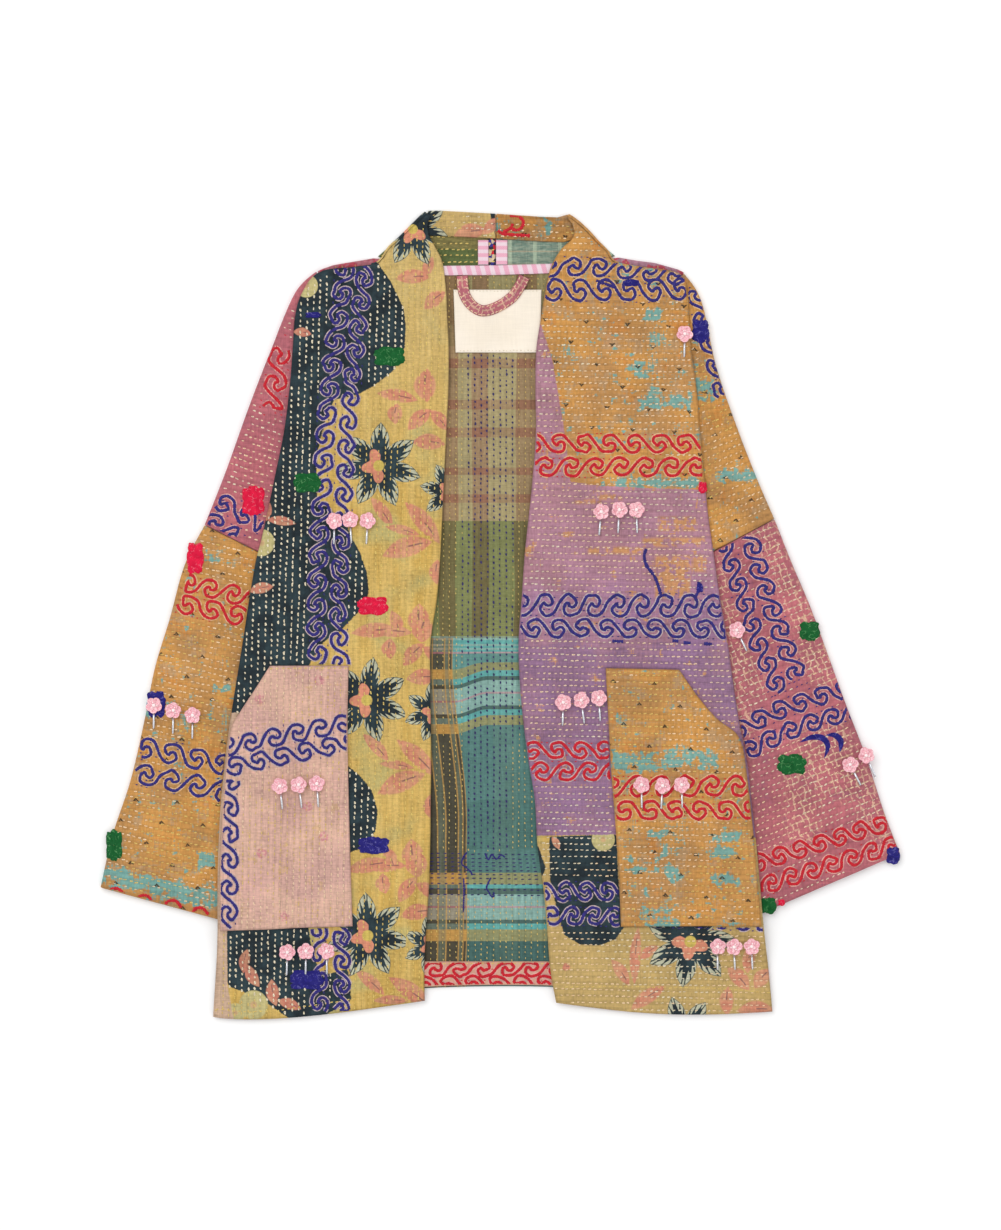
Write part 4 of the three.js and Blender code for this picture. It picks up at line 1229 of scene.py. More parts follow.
# A flat strip between two edges, sewn down on what lies under it.
def makeStrip(name, lower, upper, rows, columns, base, wall, material, air=0.0):
    u = np.linspace(0, 1, columns)[None, :]
    v = np.linspace(0, 1, rows)[:, None]
    x = mix(lower(u)[0], upper(u)[0], v)
    y = mix(lower(u)[1], upper(u)[1], v)
    grid = np.stack([x, y, base + air * np.sin(math.pi * v) * np.sin(math.pi * u) ** 0.3], 2)
    keepOutline(name, grid)
    along = np.broadcast_to(lengthAlong(grid[0]), x.shape)
    values = {"across": y - y[:1], "along": along, "edge": edgeValues(name, grid) + 1.5}
    piece = clothShell(name, grid, wall, [material], values=values)
    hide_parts(name)


collar = {
    "top": [(-130, 404), (-60, 404), (-30, 402.4), (-4, 401), (40, 398), (58, 397.4), (67, 400), (125, 400)],
    "depth": 25.0,
    "turnWall": 1.6,
    "bindingWidth": 9.5,
}


def collarTop(x):
    table = np.array(collar["top"], float)
    return np.interp(x, table[:, 0], table[:, 1])


def neckEdge(x):
    return backTop(x) + 0.3 + 1.6 * ramp(np.abs(x), 36, 60)


def makeCollarBack(which, neckX, tipX, seam):
    def lower(u):
        x = mix(neckX, seam, u) if which == "right" else mix(seam, neckX, u)
        return x, neckEdge(x)

    def upper(u):
        x = mix(tipX, seam, u) if which == "right" else mix(seam, tipX, u)
        return x, collarTop(x) - 2.0

    makeStrip(which + "_collar_back", lower, upper, 40, 60, 0.0, cloth["wall"], cottons["collarInside"])


makeCollarBack("right", -122, -73, -4.15)
makeCollarBack("left", 115, 68, -3.85)


# The collar's top edge rolled over to its inside.
def makeCollarTurn(which, outer, seam, lean):
    wall = collar["turnWall"]
    radius = 1.95
    u = np.linspace(0, 1, 70)[None, :]
    arc = np.linspace(-0.5, 0.5, 8)[:, None] * math.pi
    down = np.linspace(0, 1, 24)[1:, None]
    x0 = mix(outer, seam, u) if which == "right" else mix(seam, outer, u)
    fromSeam = np.abs(x0 - seam) / abs(outer - seam)
    top = collarTop(x0) - radius
    arcX = np.broadcast_to(x0, (8, 70))
    arcY = top + np.cos(arc) * (radius - wall)
    arcZ = np.broadcast_to(radius + np.sin(arc) * (radius - wall), (8, 70))
    downX = x0 + lean * fromSeam ** 2 * down
    downY = top - down * (collar["depth"] - radius)
    puff = 0.9 * np.sin(math.pi * np.clip(down, 0, 1)) * np.ones_like(x0)
    downZ = radius + radius - wall + puff * soft(np.sin(math.pi * u), 0.0, 0.4)
    grid = np.stack([np.concatenate([arcX, downX]), np.concatenate([arcY, downY]),
                     np.concatenate([arcZ, downZ])], 2)
    name = which + "_collar_turn"
    keepOutline(name, grid[7:])
    edge = np.full(grid.shape[:2], 20.0)
    edge[-6:] = np.linspace(6, 0, 6)[:, None]
    across, along = rowPlace(-2.0, grid[..., 0], grid[..., 1])
    relief = quilting(across, along) * soft(edge, 0, 5)
    relief[:9] *= 0.0
    patches = {"dark": [[(488, 205), (500, 205), (500, 250), (494, 232)]],
               "print": [box(380, 190, 495.5, 260)],
               "bars": [[(538, 212), (547, 212), (552, 232), (548, 236)]]}
    none = np.full(edge.shape, -99.0)
    values = {"across": across, "along": along, "edge": edge, "beige": none, "purple": none,
              **patchValues(grid, patches)}
    # The wearer's left turn takes the darker copy with painted shade.
    piece = clothShell(name, grid, wall + relief * 0.6, [cottons[which + "Turn"]], flip=True, values=values)
    printAll(piece)
    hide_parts(name)


makeCollarTurn("right", -72, -4.15, -6)
makeCollarTurn("left", 70, -3.85, 8)


# A strip from left to right, between two heights.
def layStrip(name, left, right, low, high, *rest, air):
    def edge(height):
        return lambda u: (mix(left, right, u), height(mix(left, right, u)))
    makeStrip(name, edge(low), edge(high), *rest, air=air)


def hemEdge(x):
    share = (x + 284) / 554
    return mix(-397, -393, share) + 96 * share * (1 - share)


def straight(height):
    return lambda x: np.full_like(x, height)


half = collar["bindingWidth"] / 2
layStrip("back_hem_turn", -90.0, 66.0, lambda x: hemEdge(x) + 1.5, straight(-346.0), 30, 110, 2.3, 1.6,
         cottons["hemBand"], air=0.5)
layStrip("neck_binding", -70.0, 62.0, lambda x: backTop(x) - half, lambda x: backTop(x) + half, 14, 90, 2.3,
         1.4, cottons["gingham"], air=0.9)
tapes = {"right": (-22.0, -11.5), "left": (-4.0, 7.5), "low": 349.8, "high": 374.6, "wall": 0.9}
for which in ("right", "left"):
    layStrip(which + "_seam_tape", *tapes[which], straight(tapes["low"]), straight(tapes["high"]), 26, 12,
             2.3, tapes["wall"], cottons["tape"], air=0.3)
label = {"foot": (-44.5, 40.5), "top": (-46.5, 41.5), "low": 262.0, "high": 325.0, "wall": 0.8}
makeStrip(
    "neck_label",
    lambda u: (mix(*label["foot"], u), np.full_like(u, label["low"])),
    lambda u: (mix(*label["top"], u), np.full_like(u, label["high"])),
    34, 44, 2.9, label["wall"], cottons["label"], air=0.5)

# The hanging loop: a narrow folded strip that stands a little off the back.
loop = {
    "path": [(-37.7, 338.8), (-36.3, 323), (-30.5, 311.6), (-21.6, 304.8), (-12.8, 304), (-0.2, 308.8),
             (12.3, 317.7), (20.2, 329), (24.5, 338.3)],
    "width": 11.0,
    "wall": 1.6,
}


def makeLoop():
    path = alongTable(loop["path"], np.linspace(0, len(loop["path"]) - 1, 90))
    aside = leftOf(path)
    u = np.linspace(-0.5, 0.5, 12)[None, :] * loop["width"]
    t = np.linspace(0, 1, 90)
    lift = 2.6 + 1.3 * soft(np.minimum(t, 1 - t), 0.02, 0.12)
    z = lift[:, None] + 0.5 * np.cos(math.pi * u / loop["width"])
    grid = np.stack([path[:, 0:1] + aside[:, 0:1] * u, path[:, 1:2] + aside[:, 1:2] * u, z], 2)
    keepOutline("hanging_loop", grid)
    values = {"across": np.broadcast_to(u, z.shape), "along": np.broadcast_to(t[:, None] * 110, z.shape),
              "edge": np.full(z.shape, 20.0), "netted": np.full(z.shape, 0.9)}
    piece = clothShell("hanging_loop", grid, loop["wall"], [cottons["rose"]], flip=True, values=values)
    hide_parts("hanging_loop")


makeLoop()
print("collar, binding, label and loop made")


# Threads, sequins and beads.
def threadMaterial(name, colour, second, roughness=0.5, period=2.4, depth=0.0005):
    material, shader, place = startMaterial(name)
    slant = plus(readValue("along"), times(readValue("across"), 0.9))
    twist = fract(divided(slant, period))
    groove = times(mask(twist, 0.0, 0.18), fade(twist, 0.82, 1.0))
    tone = over(mask(noise(place, 0.35, 3.0), 0.35, 0.65), colour, second)
    height = plus(groove, times(noise(place, 2.2, 2.0), 0.5))
    # Painted shade: the colour darkens in the grooves of the twist, where the bump sinks.
    fill(shader, {"Base Color": over(groove, scaled(tone, 0.68), tone), "Normal": bump(height, 0.7, depth),
                  "Roughness": roughness, "Specular IOR Level": 0.3})
    return material


# Dense satin stitches: fine strands in turning directions, split by pale lines.
def satinMaterial(name, colour, second, crack):
    material, shader, place = startMaterial(name)
    bent = put("TexNoise", {"Vector": place, "Scale": 0.12, "Detail": 1.0}).outputs[1]
    moved = put("VectorMath", {0: place, 1: scaled(bent, 16.0)}, operation="ADD").outputs[0]
    wave = {"Vector": moved, "Scale": 0.42, "Distortion": 3.0, "Detail": 2.0}
    strands = put("TexWave", wave, bands_direction="DIAGONAL").outputs[1]
    cells = put("TexVoronoi", {"Vector": moved, "Scale": 0.16}, feature="DISTANCE_TO_EDGE").outputs[0]
    line = times(fade(cells, 0.0, 0.08), mask(noise(place, 0.25, 2.0), 0.5, 0.58))
    # Painted shade: the darker second dye lies where the strands sink in the bump.
    tone = over(times(line, 0.85), over(strands, second, colour), crack)
    fill(shader, {"Base Color": tone, "Normal": bump(minus(times(strands, 0.8), line), 0.7, 0.0005),
                  "Roughness": 0.6, "Specular IOR Level": 0.25})
    return material


def glossMaterial(name, colour, second, roughness, metallic=0.0, coat=0.0):
    material, shader, place = startMaterial(name)
    tone = over(mask(noise(place, 0.7, 2.0), 0.42, 0.6), colour, second)
    rough = plus(roughness, times(noise(place, 0.8, 2.0), 0.12))
    fill(shader, {"Base Color": tone, "Roughness": rough, "Metallic": metallic, "Coat Weight": coat})
    return material


threads = {
    "cream": threadMaterial("creamThread", dye(246, 234, 206), dye(214, 200, 168), 0.7),
    "yellow": threadMaterial("yellowThread", dye(232, 206, 116), dye(212, 176, 98), 0.7),
    "peach": threadMaterial("peachThread", dye(250, 224, 186), dye(234, 202, 160), 0.7),
    "indigo": threadMaterial("indigoThread", dye(58, 50, 106), dye(46, 40, 86), 0.7),
    "navy": threadMaterial("navyThread", dye(50, 42, 128), dye(40, 34, 106), 0.6),
    "red": threadMaterial("redThread", dye(210, 28, 44), dye(190, 20, 40), 0.6),
    "chalkPale": threadMaterial("chalkPale", dye(198, 178, 178), dye(176, 156, 160), 0.85, 30.0, 0.0001),
    "chalkWarm": threadMaterial("chalkWarm", dye(220, 184, 142), dye(206, 166, 124), 0.85, 30.0, 0.0001),
    "chalkRose": threadMaterial("chalkRose", dye(222, 172, 160), dye(206, 152, 148), 0.85, 30.0, 0.0001),
}
satins = {
    "green": satinMaterial("greenSatin", dye(2, 102, 42), dye(0, 80, 32), dye(96, 160, 100)),
    "crimson": satinMaterial("crimsonSatin", dye(236, 6, 66), dye(212, 4, 54), dye(246, 120, 140)),
    "navy": satinMaterial("navySatin", dye(36, 30, 130), dye(26, 22, 106), dye(104, 100, 172)),
}
gloss = {
    # Painted highlights: the paler patches of the pink sequin stand in for glints off its facets.
    "sequin": glossMaterial("pinkSequin", dye(238, 158, 172), dye(252, 206, 212), 0.2, 0.0, 0.7),
    "bead": glossMaterial("clearBead", dye(252, 226, 226), dye(255, 240, 238), 0.12, 0.0, 0.8),
    "bugle": glossMaterial("silverBugle", dye(206, 208, 214), dye(232, 234, 240), 0.18, 0.75, 0.4),
}
print("threads and beads ready")


# Centreline, half height, thread and cord of each surface's scrolls, so that stitches leave room for them.
sewn = {}


def evenPath(points, step):
    points = np.asarray(points, float)
    dense = alongTable(points, np.linspace(0, len(points) - 1, 30 * len(points)))
    length = lengthAlong(dense)
    at = np.linspace(0, length[-1], max(2, int(length[-1] / step) + 1))
    return np.stack([np.interp(at, length, dense[:, k]) for k in range(dense.shape[1])], 1), at


# A raised line of thread along a path, lying on one piece of cloth.
def layRibbon(batch, surface, path, at, profile, covers=(), wave=0.0, gaps=3.0, taper=0.0):
    aside = leftOf(path)
    profile = np.asarray(profile, float)
    swell = 1 + wave * np.sin(at * 2 * math.pi / 2.4) + wave * rng.normal(0, 0.8, len(at))
    swell = swell * np.maximum(0.12, np.sin(math.pi * at / at[-1]) ** taper if taper else 1.0)
    x = path[:, 0:1] + aside[:, 0:1] * profile[:, 0] * swell[:, None]
    y = path[:, 1:2] + aside[:, 1:2] * profile[:, 0] * swell[:, None]
    ground = heightOn(surface, x.ravel(), y.ravel()).reshape(x.shape)
    for cover in covers:
        ground[insideOutline(outlines[cover], x, y) > -0.5] = np.nan
    ground[np.sin(at * 0.37 + at[-1]) + np.sin(at * 0.91 + 2) > gaps] = np.nan
    z = ground + profile[:, 1] * swell[:, None]
    rows, columns = x.shape
    index = np.arange(rows * columns).reshape(rows, columns)
    quads = np.stack([index[:-1, :-1], index[1:, :-1], index[1:, 1:], index[:-1, 1:]], -1).reshape(-1, 4)
    keep = ~np.isnan(z).reshape(-1)[quads].any(1)
    addTo(batch, np.stack([x, y, np.nan_to_num(z)], 2), quads[keep][:, ::-1], at[:, None], profile[:, 0])


# Forms are gathered in batches, and each batch becomes one piece.
def newBatch():
    return {"points": [], "quads": [], "along": [], "across": [], "slots": [], "count": 0}


def addTo(batch, points, quads, along=0.0, across=0.0):
    flat = points.reshape(-1, 3)
    batch["points"].append(flat)
    batch["quads"].append(quads + batch["count"])
    batch["along"].append(np.broadcast_to(along, points.shape[:-1]).reshape(-1))
    batch["across"].append(np.broadcast_to(across, points.shape[:-1]).reshape(-1))
    batch["count"] += len(flat)


# The quads of a form made of closed rings, one over another.
def ringQuads(rows, columns):
    index = np.arange(rows * columns).reshape(rows, columns)
    nextIndex = np.roll(index, -1, 1)
    return np.stack([index[:-1], nextIndex[:-1], nextIndex[1:], index[1:]], -1).reshape(-1, 4)


def closeBatch(batch, name, materials):
    points = np.concatenate(batch["points"])
    quads = np.concatenate(batch["quads"])
    slots = np.concatenate(batch["slots"]) if batch["slots"] else None
    used = np.unique(quads)
    place = np.zeros(len(points), int)
    place[used] = np.arange(len(used))
    piece = newMesh(name, points[used], place[quads], materials, slots)
    pointValues(piece, "along", np.concatenate(batch["along"])[used])
    pointValues(piece, "across", np.concatenate(batch["across"])[used])


# One running hook of the scroll, from a crest round to the next, in shares of the pitch and of the height.
scroll = {
    "hook": [(0, 1), (0.16, 0.96), (0.29, 0.8), (0.31, 0.6), (0.2, 0.44), (0.06, 0.47), (0, 0.6),
             (-0.1, 0.54), (-0.17, 0.36), (-0.13, 0.14), (0.03, 0.01), (0.24, 0.02), (0.42, 0.2),
             (0.62, 0.62), (0.8, 0.9)],
    "jitter": 0.45,
    "cord": [(-1.75, -0.3), (-1.3, 0.45), (0, 0.85), (1.3, 0.45), (1.75, -0.3)],
    "fine": [(-0.9, -0.3), (-0.65, 0.35), (0, 0.6), (0.65, 0.35), (0.9, -0.3)],
    "chalk": [(-2.6, -0.15), (-2.35, 0.08), (0, 0.08), (2.35, 0.08), (2.6, -0.15)],
}


def scrollPath(line, height, flip, pitch, shift):
    centre, length = evenPath(spots(line), 1.0)
    aside = leftOf(centre)
    count = int(length[-1] / pitch) + 2
    hook = np.array(scroll["hook"])
    along = (np.arange(-1, count)[:, None] + shift + hook[:, 0]).ravel() * pitch
    rise = np.tile(hook[:, 1], count + 1)
    rise = (1 - rise if flip else rise) - 0.5
    along = along + rng.normal(0, scroll["jitter"], len(along))
    high = rise * height + rng.normal(0, scroll["jitter"], len(along))
    keep = (along > -2) & (along < length[-1] + 2)
    along, high = along[keep], high[keep]
    x = np.interp(along, length, centre[:, 0]) + np.interp(along, length, aside[:, 0]) * high
    y = np.interp(along, length, centre[:, 1]) + np.interp(along, length, aside[:, 1]) * high
    return np.stack([x, y], 1), centre


# by surface: thread, chalk, height, flip, pitch, shift, centreline
scrollRows = {
    "right_front": [
        ("navy", "chalkPale", 17, True, 24, 0.2,
         [(346, 264), (336, 340), (326, 430), (317, 600), (319, 668)]),
        ("navy", "chalkPale", 15.5, False, 24, 0.6,
         [(366, 264), (357, 340), (348, 430), (339, 600), (341, 668)]),
        ("navy", "chalkPale", 15, True, 24, 0.1, [(320, 926), (320, 1012)]),
        ("navy", "chalkPale", 15, False, 24, 0.4, [(342, 926), (342, 1010)]),
    ],
    "right_sleeve_upper": [
        ("red", "chalkRose", 20, False, 27, 0.3, [(281, 347), (273, 408)]),
        ("navy", "chalkRose", 16, True, 24, 0.2, [(219, 501), (240, 512), (261, 527)]),
        ("navy", "chalkRose", 16, False, 24, 0.5, [(205, 516), (236, 536)]),
    ],
    "right_sleeve_lower": [
        ("red", "chalkWarm", 17, False, 23, 0.0, [(188, 583), (250, 598)]),
        ("red", "chalkWarm", 18, True, 25, 0.4, [(177, 602), (246, 617)]),
        ("navy", "chalkWarm", 19, True, 26, 0.1, [(142, 747), (226, 764)]),
        ("navy", "chalkWarm", 19, False, 26, 0.5, [(133, 772), (224, 791)]),
    ],
    "right_pocket": [
        ("navy", "chalkPale", 16.5, False, 23.4, 0.0, [(228, 746), (350, 722)]),
        ("navy", "chalkPale", 16, True, 23.4, 0.4, [(226, 767), (350, 742)]),
        ("navy", "chalkPale", 16, False, 26, 0.0, [(232, 780), (230, 927)]),
    ],
    "left_front": [
        ("navy", "chalkWarm", 17, False, 25, 0.1,
         [(545, 268), (600, 268), (640, 272), (672, 276), (692, 284)]),
        ("navy", "chalkWarm", 20, True, 25, 0.5, [(540, 291), (692, 290)]),
        ("red", "chalkWarm", 17, True, 25, 0.0, [(532, 444), (720, 444)]),
        ("red", "chalkWarm", 17, False, 25, 0.5, [(532, 467), (720, 467)]),
        ("navy", "chalkPale", 21, False, 24, 0.1, [(518, 605), (724, 606)]),
        ("navy", "chalkPale", 17, True, 24, 0.6, [(518, 628), (724, 629)]),
        ("red", "chalkPale", 15.5, True, 24, 0.2, [(526, 750), (612, 750)]),
        ("red", "chalkPale", 17, False, 24, 0.6, [(526, 771), (612, 771)]),
        ("navy", "chalkPale", 17, True, 21, 0.1, [(540, 891), (622, 891)]),
        ("navy", "chalkPale", 17, False, 21, 0.5, [(540, 915), (640, 916), (765, 921)]),
    ],
    "left_pocket": [
        ("red", "chalkWarm", 19, False, 25, 0.0, [(610, 786), (752, 785)]),
        ("red", "chalkWarm", 17, True, 25, 0.5, [(610, 810), (752, 809)]),
    ],
    "left_sleeve_upper": [
        ("navy", "chalkWarm", 15, False, 24, 0.2, [(694, 290), (722, 398)]),
    ],
    "left_sleeve_lower": [
        ("navy", "chalkRose", 16.5, True, 21, 0.2,
         [(722, 540), (736, 580), (744.5, 604), (757.5, 643), (766, 662), (779, 692)]),
        ("navy", "chalkRose", 17.5, False, 21.7, 0.6,
         [(738, 515), (746, 534), (754, 554), (762, 580), (770, 604), (775, 621), (783, 638), (789, 657),
          (797, 677)]),
        ("navy", "chalkRose", 16, True, 22, 0.0, [(738, 730), (770, 713.5), (809, 699), (842, 690)]),
        ("navy", "chalkRose", 16, False, 22, 0.4, [(742, 753.5), (778, 735), (820, 719.5), (852, 713)]),
        ("red", "chalkRose", 16, True, 21, 0.0, [(757, 862), (880, 824), (892, 820)]),
        ("red", "chalkRose", 16, False, 21, 0.5, [(760, 886), (890, 845), (900, 842)]),
    ],
    "back_hem_turn": [
        ("red", "chalkRose", 13.5, False, 24, 0.0, [(410, 969), (566, 968)]),
        ("red", "chalkRose", 13.5, True, 24, 0.5, [(410, 983), (566, 982)]),
    ],
}
coveredBy = {
    "right_front": ["right_pocket"],
    "left_front": ["left_pocket"],
    "right_sleeve_upper": ["right_front"],
    "right_sleeve_lower": ["right_front"],
    "left_sleeve_upper": ["left_front"],
    "left_sleeve_lower": ["left_front"],
    "back_panel": ["right_front", "left_front", "neck_label"],
}


def sewScrolls():
    cords = {name: newBatch() for name in ("navy", "red")}
    chalks = {name: newBatch() for name in ("chalkPale", "chalkWarm", "chalkRose")}
    for surface, rows in scrollRows.items():
        covers = coveredBy.get(surface, ())
        for thread, chalk, height, flip, pitch, shift, line in rows:
            hooks, centre = scrollPath(line, height, flip, pitch, shift)
            path, at = evenPath(hooks, 1.0)
            layRibbon(cords[thread], surface, path, at, scroll["cord"], covers, wave=0.12)
            wide, wideAt = evenPath(hooks, 1.6)
            chalkProfile = np.array(scroll["chalk"]) + np.array([0, rng.uniform(0, 0.05)])
            layRibbon(chalks[chalk], surface, wide, wideAt, chalkProfile, covers, gaps=1.3)
            sewn.setdefault(surface, []).append((centre, height / 2, thread, path))
    for thread, batch in cords.items():
        closeBatch(batch, thread + "_scrolls", [threads[thread]])
    for chalk, batch in chalks.items():
        closeBatch(batch, chalk + "_lines", [threads[chalk]])


sewScrolls()
print("scrolls sewn")

# Rows of running stitches over each cloth: row direction, then the thread by place.
stitch = {"period": 5.6, "length": (2.3, 4.0), "width": 1.1, "high": 0.5, "sunk": 0.12, "chunky": 1.6,
          "skipped": 0.05}
stitchRows = {
    "right_front": {"angle": 88.2, "threads": ["cream", "yellow"], "second": 0.3},
    "left_front": {"angle": -1.2, "threads": ["peach", "cream"], "second": 0.35},
    "right_pocket": {"angle": 89.0, "threads": ["yellow", "peach"], "second": 0.6, "thin": 0.75},
    "left_pocket": {"angle": -1.5, "threads": ["peach", "yellow"], "second": 0.5},
    "right_sleeve_upper": {"angle": -20.0, "threads": ["cream", "peach"], "second": 0.4},
    "right_sleeve_lower": {"angle": -14.0, "threads": ["peach", "yellow"], "second": 0.4},
    "left_sleeve_upper": {"angle": 21.7, "threads": ["peach", "yellow"], "second": 0.5},
    "left_sleeve_lower": {"angle": 21.7, "threads": ["cream", "peach"], "second": 0.45},
    "back_panel": {"angle": 90.0, "threads": ["yellow", "indigo"], "second": 0.35},
    "right_collar_turn": {"angle": -2.0, "threads": ["cream", "yellow"], "second": 0.4},
    "left_collar_turn": {"angle": -2.0, "threads": ["peach", "yellow"], "second": 0.5},
    "right_collar_back": {"angle": 0.0, "threads": ["yellow", "yellow"], "second": 0.4},
    "back_hem_turn": {"angle": 0.0, "threads": ["cream", "cream"], "second": 0.4},
}
navyStitched = [(463, 335), (516, 335), (512, 640), (522, 730), (506, 760), (508, 849), (465, 849),
                (462, 640)]


# How far each place is from the nearest band of scrolls and from their cord, and whether that band is red.
def nearScrolls(surface, x, y):
    def farFrom(path):
        return np.min([np.hypot(x - px, y - py) for px, py in path], axis=0)

    band, cord, nearRed = np.full(x.shape, 99.0), np.full(x.shape, 99.0), np.zeros(x.shape, bool)
    for centre, half, colour, path in sewn.get(surface, ()):
        far = farFrom(centre[::4]) - half
        nearRed = np.where(far < band, colour == "red", nearRed)
        band = np.minimum(band, far)
        cord = np.minimum(cord, farFrom(path[::2]))
    return band, cord, nearRed


# Small humps of thread, three points along and three across.
def layStitches(batch, surface, x, y, angle, length, width, slots):
    c, s = np.cos(angle), np.sin(angle)
    shares = np.array([-0.5, 0.0, 0.5])
    points = []
    for a in shares:
        cx, cy = x + c * a * length, y + s * a * length
        ground = heightOn(surface, cx, cy)
        for b in shares:
            lift = stitch["high"] if b == 0 else 0.12
            lift = lift if a == 0 else (-stitch["sunk"] if b else -0.05)
            points.append(np.stack([cx - s * b * width, cy + c * b * width, ground + lift], 1))
    points = np.stack(points, 1)
    good = ~np.isnan(points).any((1, 2))
    points = points[good]
    pattern = np.array([(0, 3, 4, 1), (1, 4, 5, 2), (3, 6, 7, 4), (4, 7, 8, 5)])
    quads = (9 * np.arange(len(points))[:, None, None] + pattern[None]).reshape(-1, 4)
    addTo(batch, points, quads, np.repeat(shares, 3) * 3.0, np.tile(shares, 3))
    batch["slots"].append(np.repeat(np.asarray(slots)[good], 4))


def sewRows(surface):
    look = stitchRows[surface]
    ring = outlines[surface]
    across, along = rowPlace(look["angle"], ring[:, 0], ring[:, 1])
    rows = np.arange(math.floor(across.min() / cloth["rowPitch"]),
                     math.ceil(across.max() / cloth["rowPitch"]) + 1)
    places = []
    for row in rows:
        at = np.arange(along.min() + rng.uniform(0, stitch["period"]), along.max(), stitch["period"])
        at = at + rng.normal(0, 0.5, len(at))
        wander = 0.45 * np.sin(at / 41 + row * 1.7) + rng.normal(0, 0.2, len(at))
        places.append(np.stack([row * cloth["rowPitch"] + wander, at], 1))
    across, along = np.concatenate(places).T
    a = math.radians(look["angle"])
    x = along * math.cos(a) - across * math.sin(a)
    y = along * math.sin(a) + across * math.cos(a)
    inside = insideOutline(ring, x, y)
    keep = inside > 2.4
    for cover in coveredBy.get(surface, ()):
        keep &= insideOutline(outlines[cover], x, y) < -1.5
    if surface == "back_panel":
        keep &= (y < -281) | (y > -236)
    x, y = x[keep], y[keep]
    band, thread, nearRed = nearScrolls(surface, x, y)
    inBand = band < 2.6
    keep = (thread > 2.4) & ~(inBand & (rng.random(len(x)) < 0.4)) & (rng.random(len(x)) > stitch["skipped"])
    x, y, inBand, nearRed = x[keep], y[keep], inBand[keep], nearRed[keep]
    count = len(x)
    patch = np.sin(x / 31 + np.sin(y / 27)) * np.sin(y / 38 + 1.3)
    second = patch + rng.normal(0, 0.25, count) > 1 - 2 * look["second"]
    length = np.where(inBand, 2.6, rng.uniform(*stitch["length"], count))
    width = stitch["width"] * look.get("thin", 1.0) * rng.uniform(0.65, 1.35, count)
    if surface == "right_front":
        deep = insideAny(darkPatches, x, y) > 0
        second = ~deep
        width = np.where(deep, width * stitch["chunky"], width)
    if surface == "back_panel":
        navyRows = insideOutline(spots(navyStitched), x, y) > 0
        second = navyRows
        width = np.where(navyRows, width * 1.5, width * 0.75)
        length = np.where(navyRows, rng.uniform(2.4, 3.8, count), 2.1)
    slots = np.where(inBand, np.where(nearRed, 3, 2), np.where(second, 1, 0))
    width = np.where(inBand, 1.1, width)
    angle = a + rng.normal(0, 0.1, count)
    batch = newBatch()
    layStitches(batch, surface, x, y, angle, length, width, slots)
    closeBatch(batch, surface + "_stitches", [threads[key] for key in (*look["threads"], "navy", "red")])
    return count


total = sum(sewRows(surface) for surface in stitchRows)
print("stitches sewn:", total)


# Stitches along an edge or a seam.
def sewLine(batch, surface, line, period, length, width):
    path, _ = evenPath(line, period)
    step = np.gradient(path, axis=0)
    x, y = path[:, 0] + rng.normal(0, 0.2, len(path)), path[:, 1] + rng.normal(0, 0.2, len(path))
    layStitches(batch, surface, x, y, np.arctan2(step[:, 1], step[:, 0]),
                length * rng.uniform(0.85, 1.15, len(path)), np.full(len(path), width),
                np.zeros(len(path), int))


# Thick embroidered blobs: surface, colour, centre, half width, half height, lobes, turn.
blobs = [
    ("right_front", "green", 390, 357, 16, 10, 6, 0.3), ("right_front", "green", 308, 483, 14, 10, 6, 1.0),
    ("right_sleeve_lower", "green", 115, 845, 8.5, 16, 6, 0.5),
    ("left_sleeve_lower", "green", 809, 631, 10.5, 10, 5, 0.2),
    ("left_sleeve_lower", "green", 791, 764, 15, 10.5, 6, 0.8),
    ("left_sleeve_lower", "green", 768, 905, 8, 8.5, 5, 0.1),
    ("left_sleeve_lower", "navy", 892.5, 855, 7, 9, 5, 1.4),
    ("right_sleeve_upper", "crimson", 254, 501, 11.5, 15.5, 6, 0.5),
    ("right_sleeve_lower", "crimson", 196, 558.5, 8.8, 16, 6, 1.1),
    ("right_front", "crimson", 373, 606, 16, 9.5, 6, 0.2),
    ("left_sleeve_lower", "crimson", 781, 902, 3.5, 3.5, 5, 0.0),
    ("left_front", "crimson", 702, 488, 4.5, 6, 5, 0.4), ("right_front", "navy", 374, 845, 16, 9, 6, 0.5),
    ("right_front", "navy", 307, 979, 17.5, 10, 6, 0.1),
    ("right_sleeve_lower", "navy", 157, 704, 10, 13.5, 6, 0.9),
    ("left_sleeve_upper", "navy", 700, 332, 9, 12, 5, 0.3), ("left_front", "navy", 699, 588, 3.4, 5, 3, 0.3),
    ("left_front", "navy", 631, 283.5, 8, 3.5, 5, 0.8), ("right_front", "navy", 314, 316, 8, 3, 5, 0.0),
]


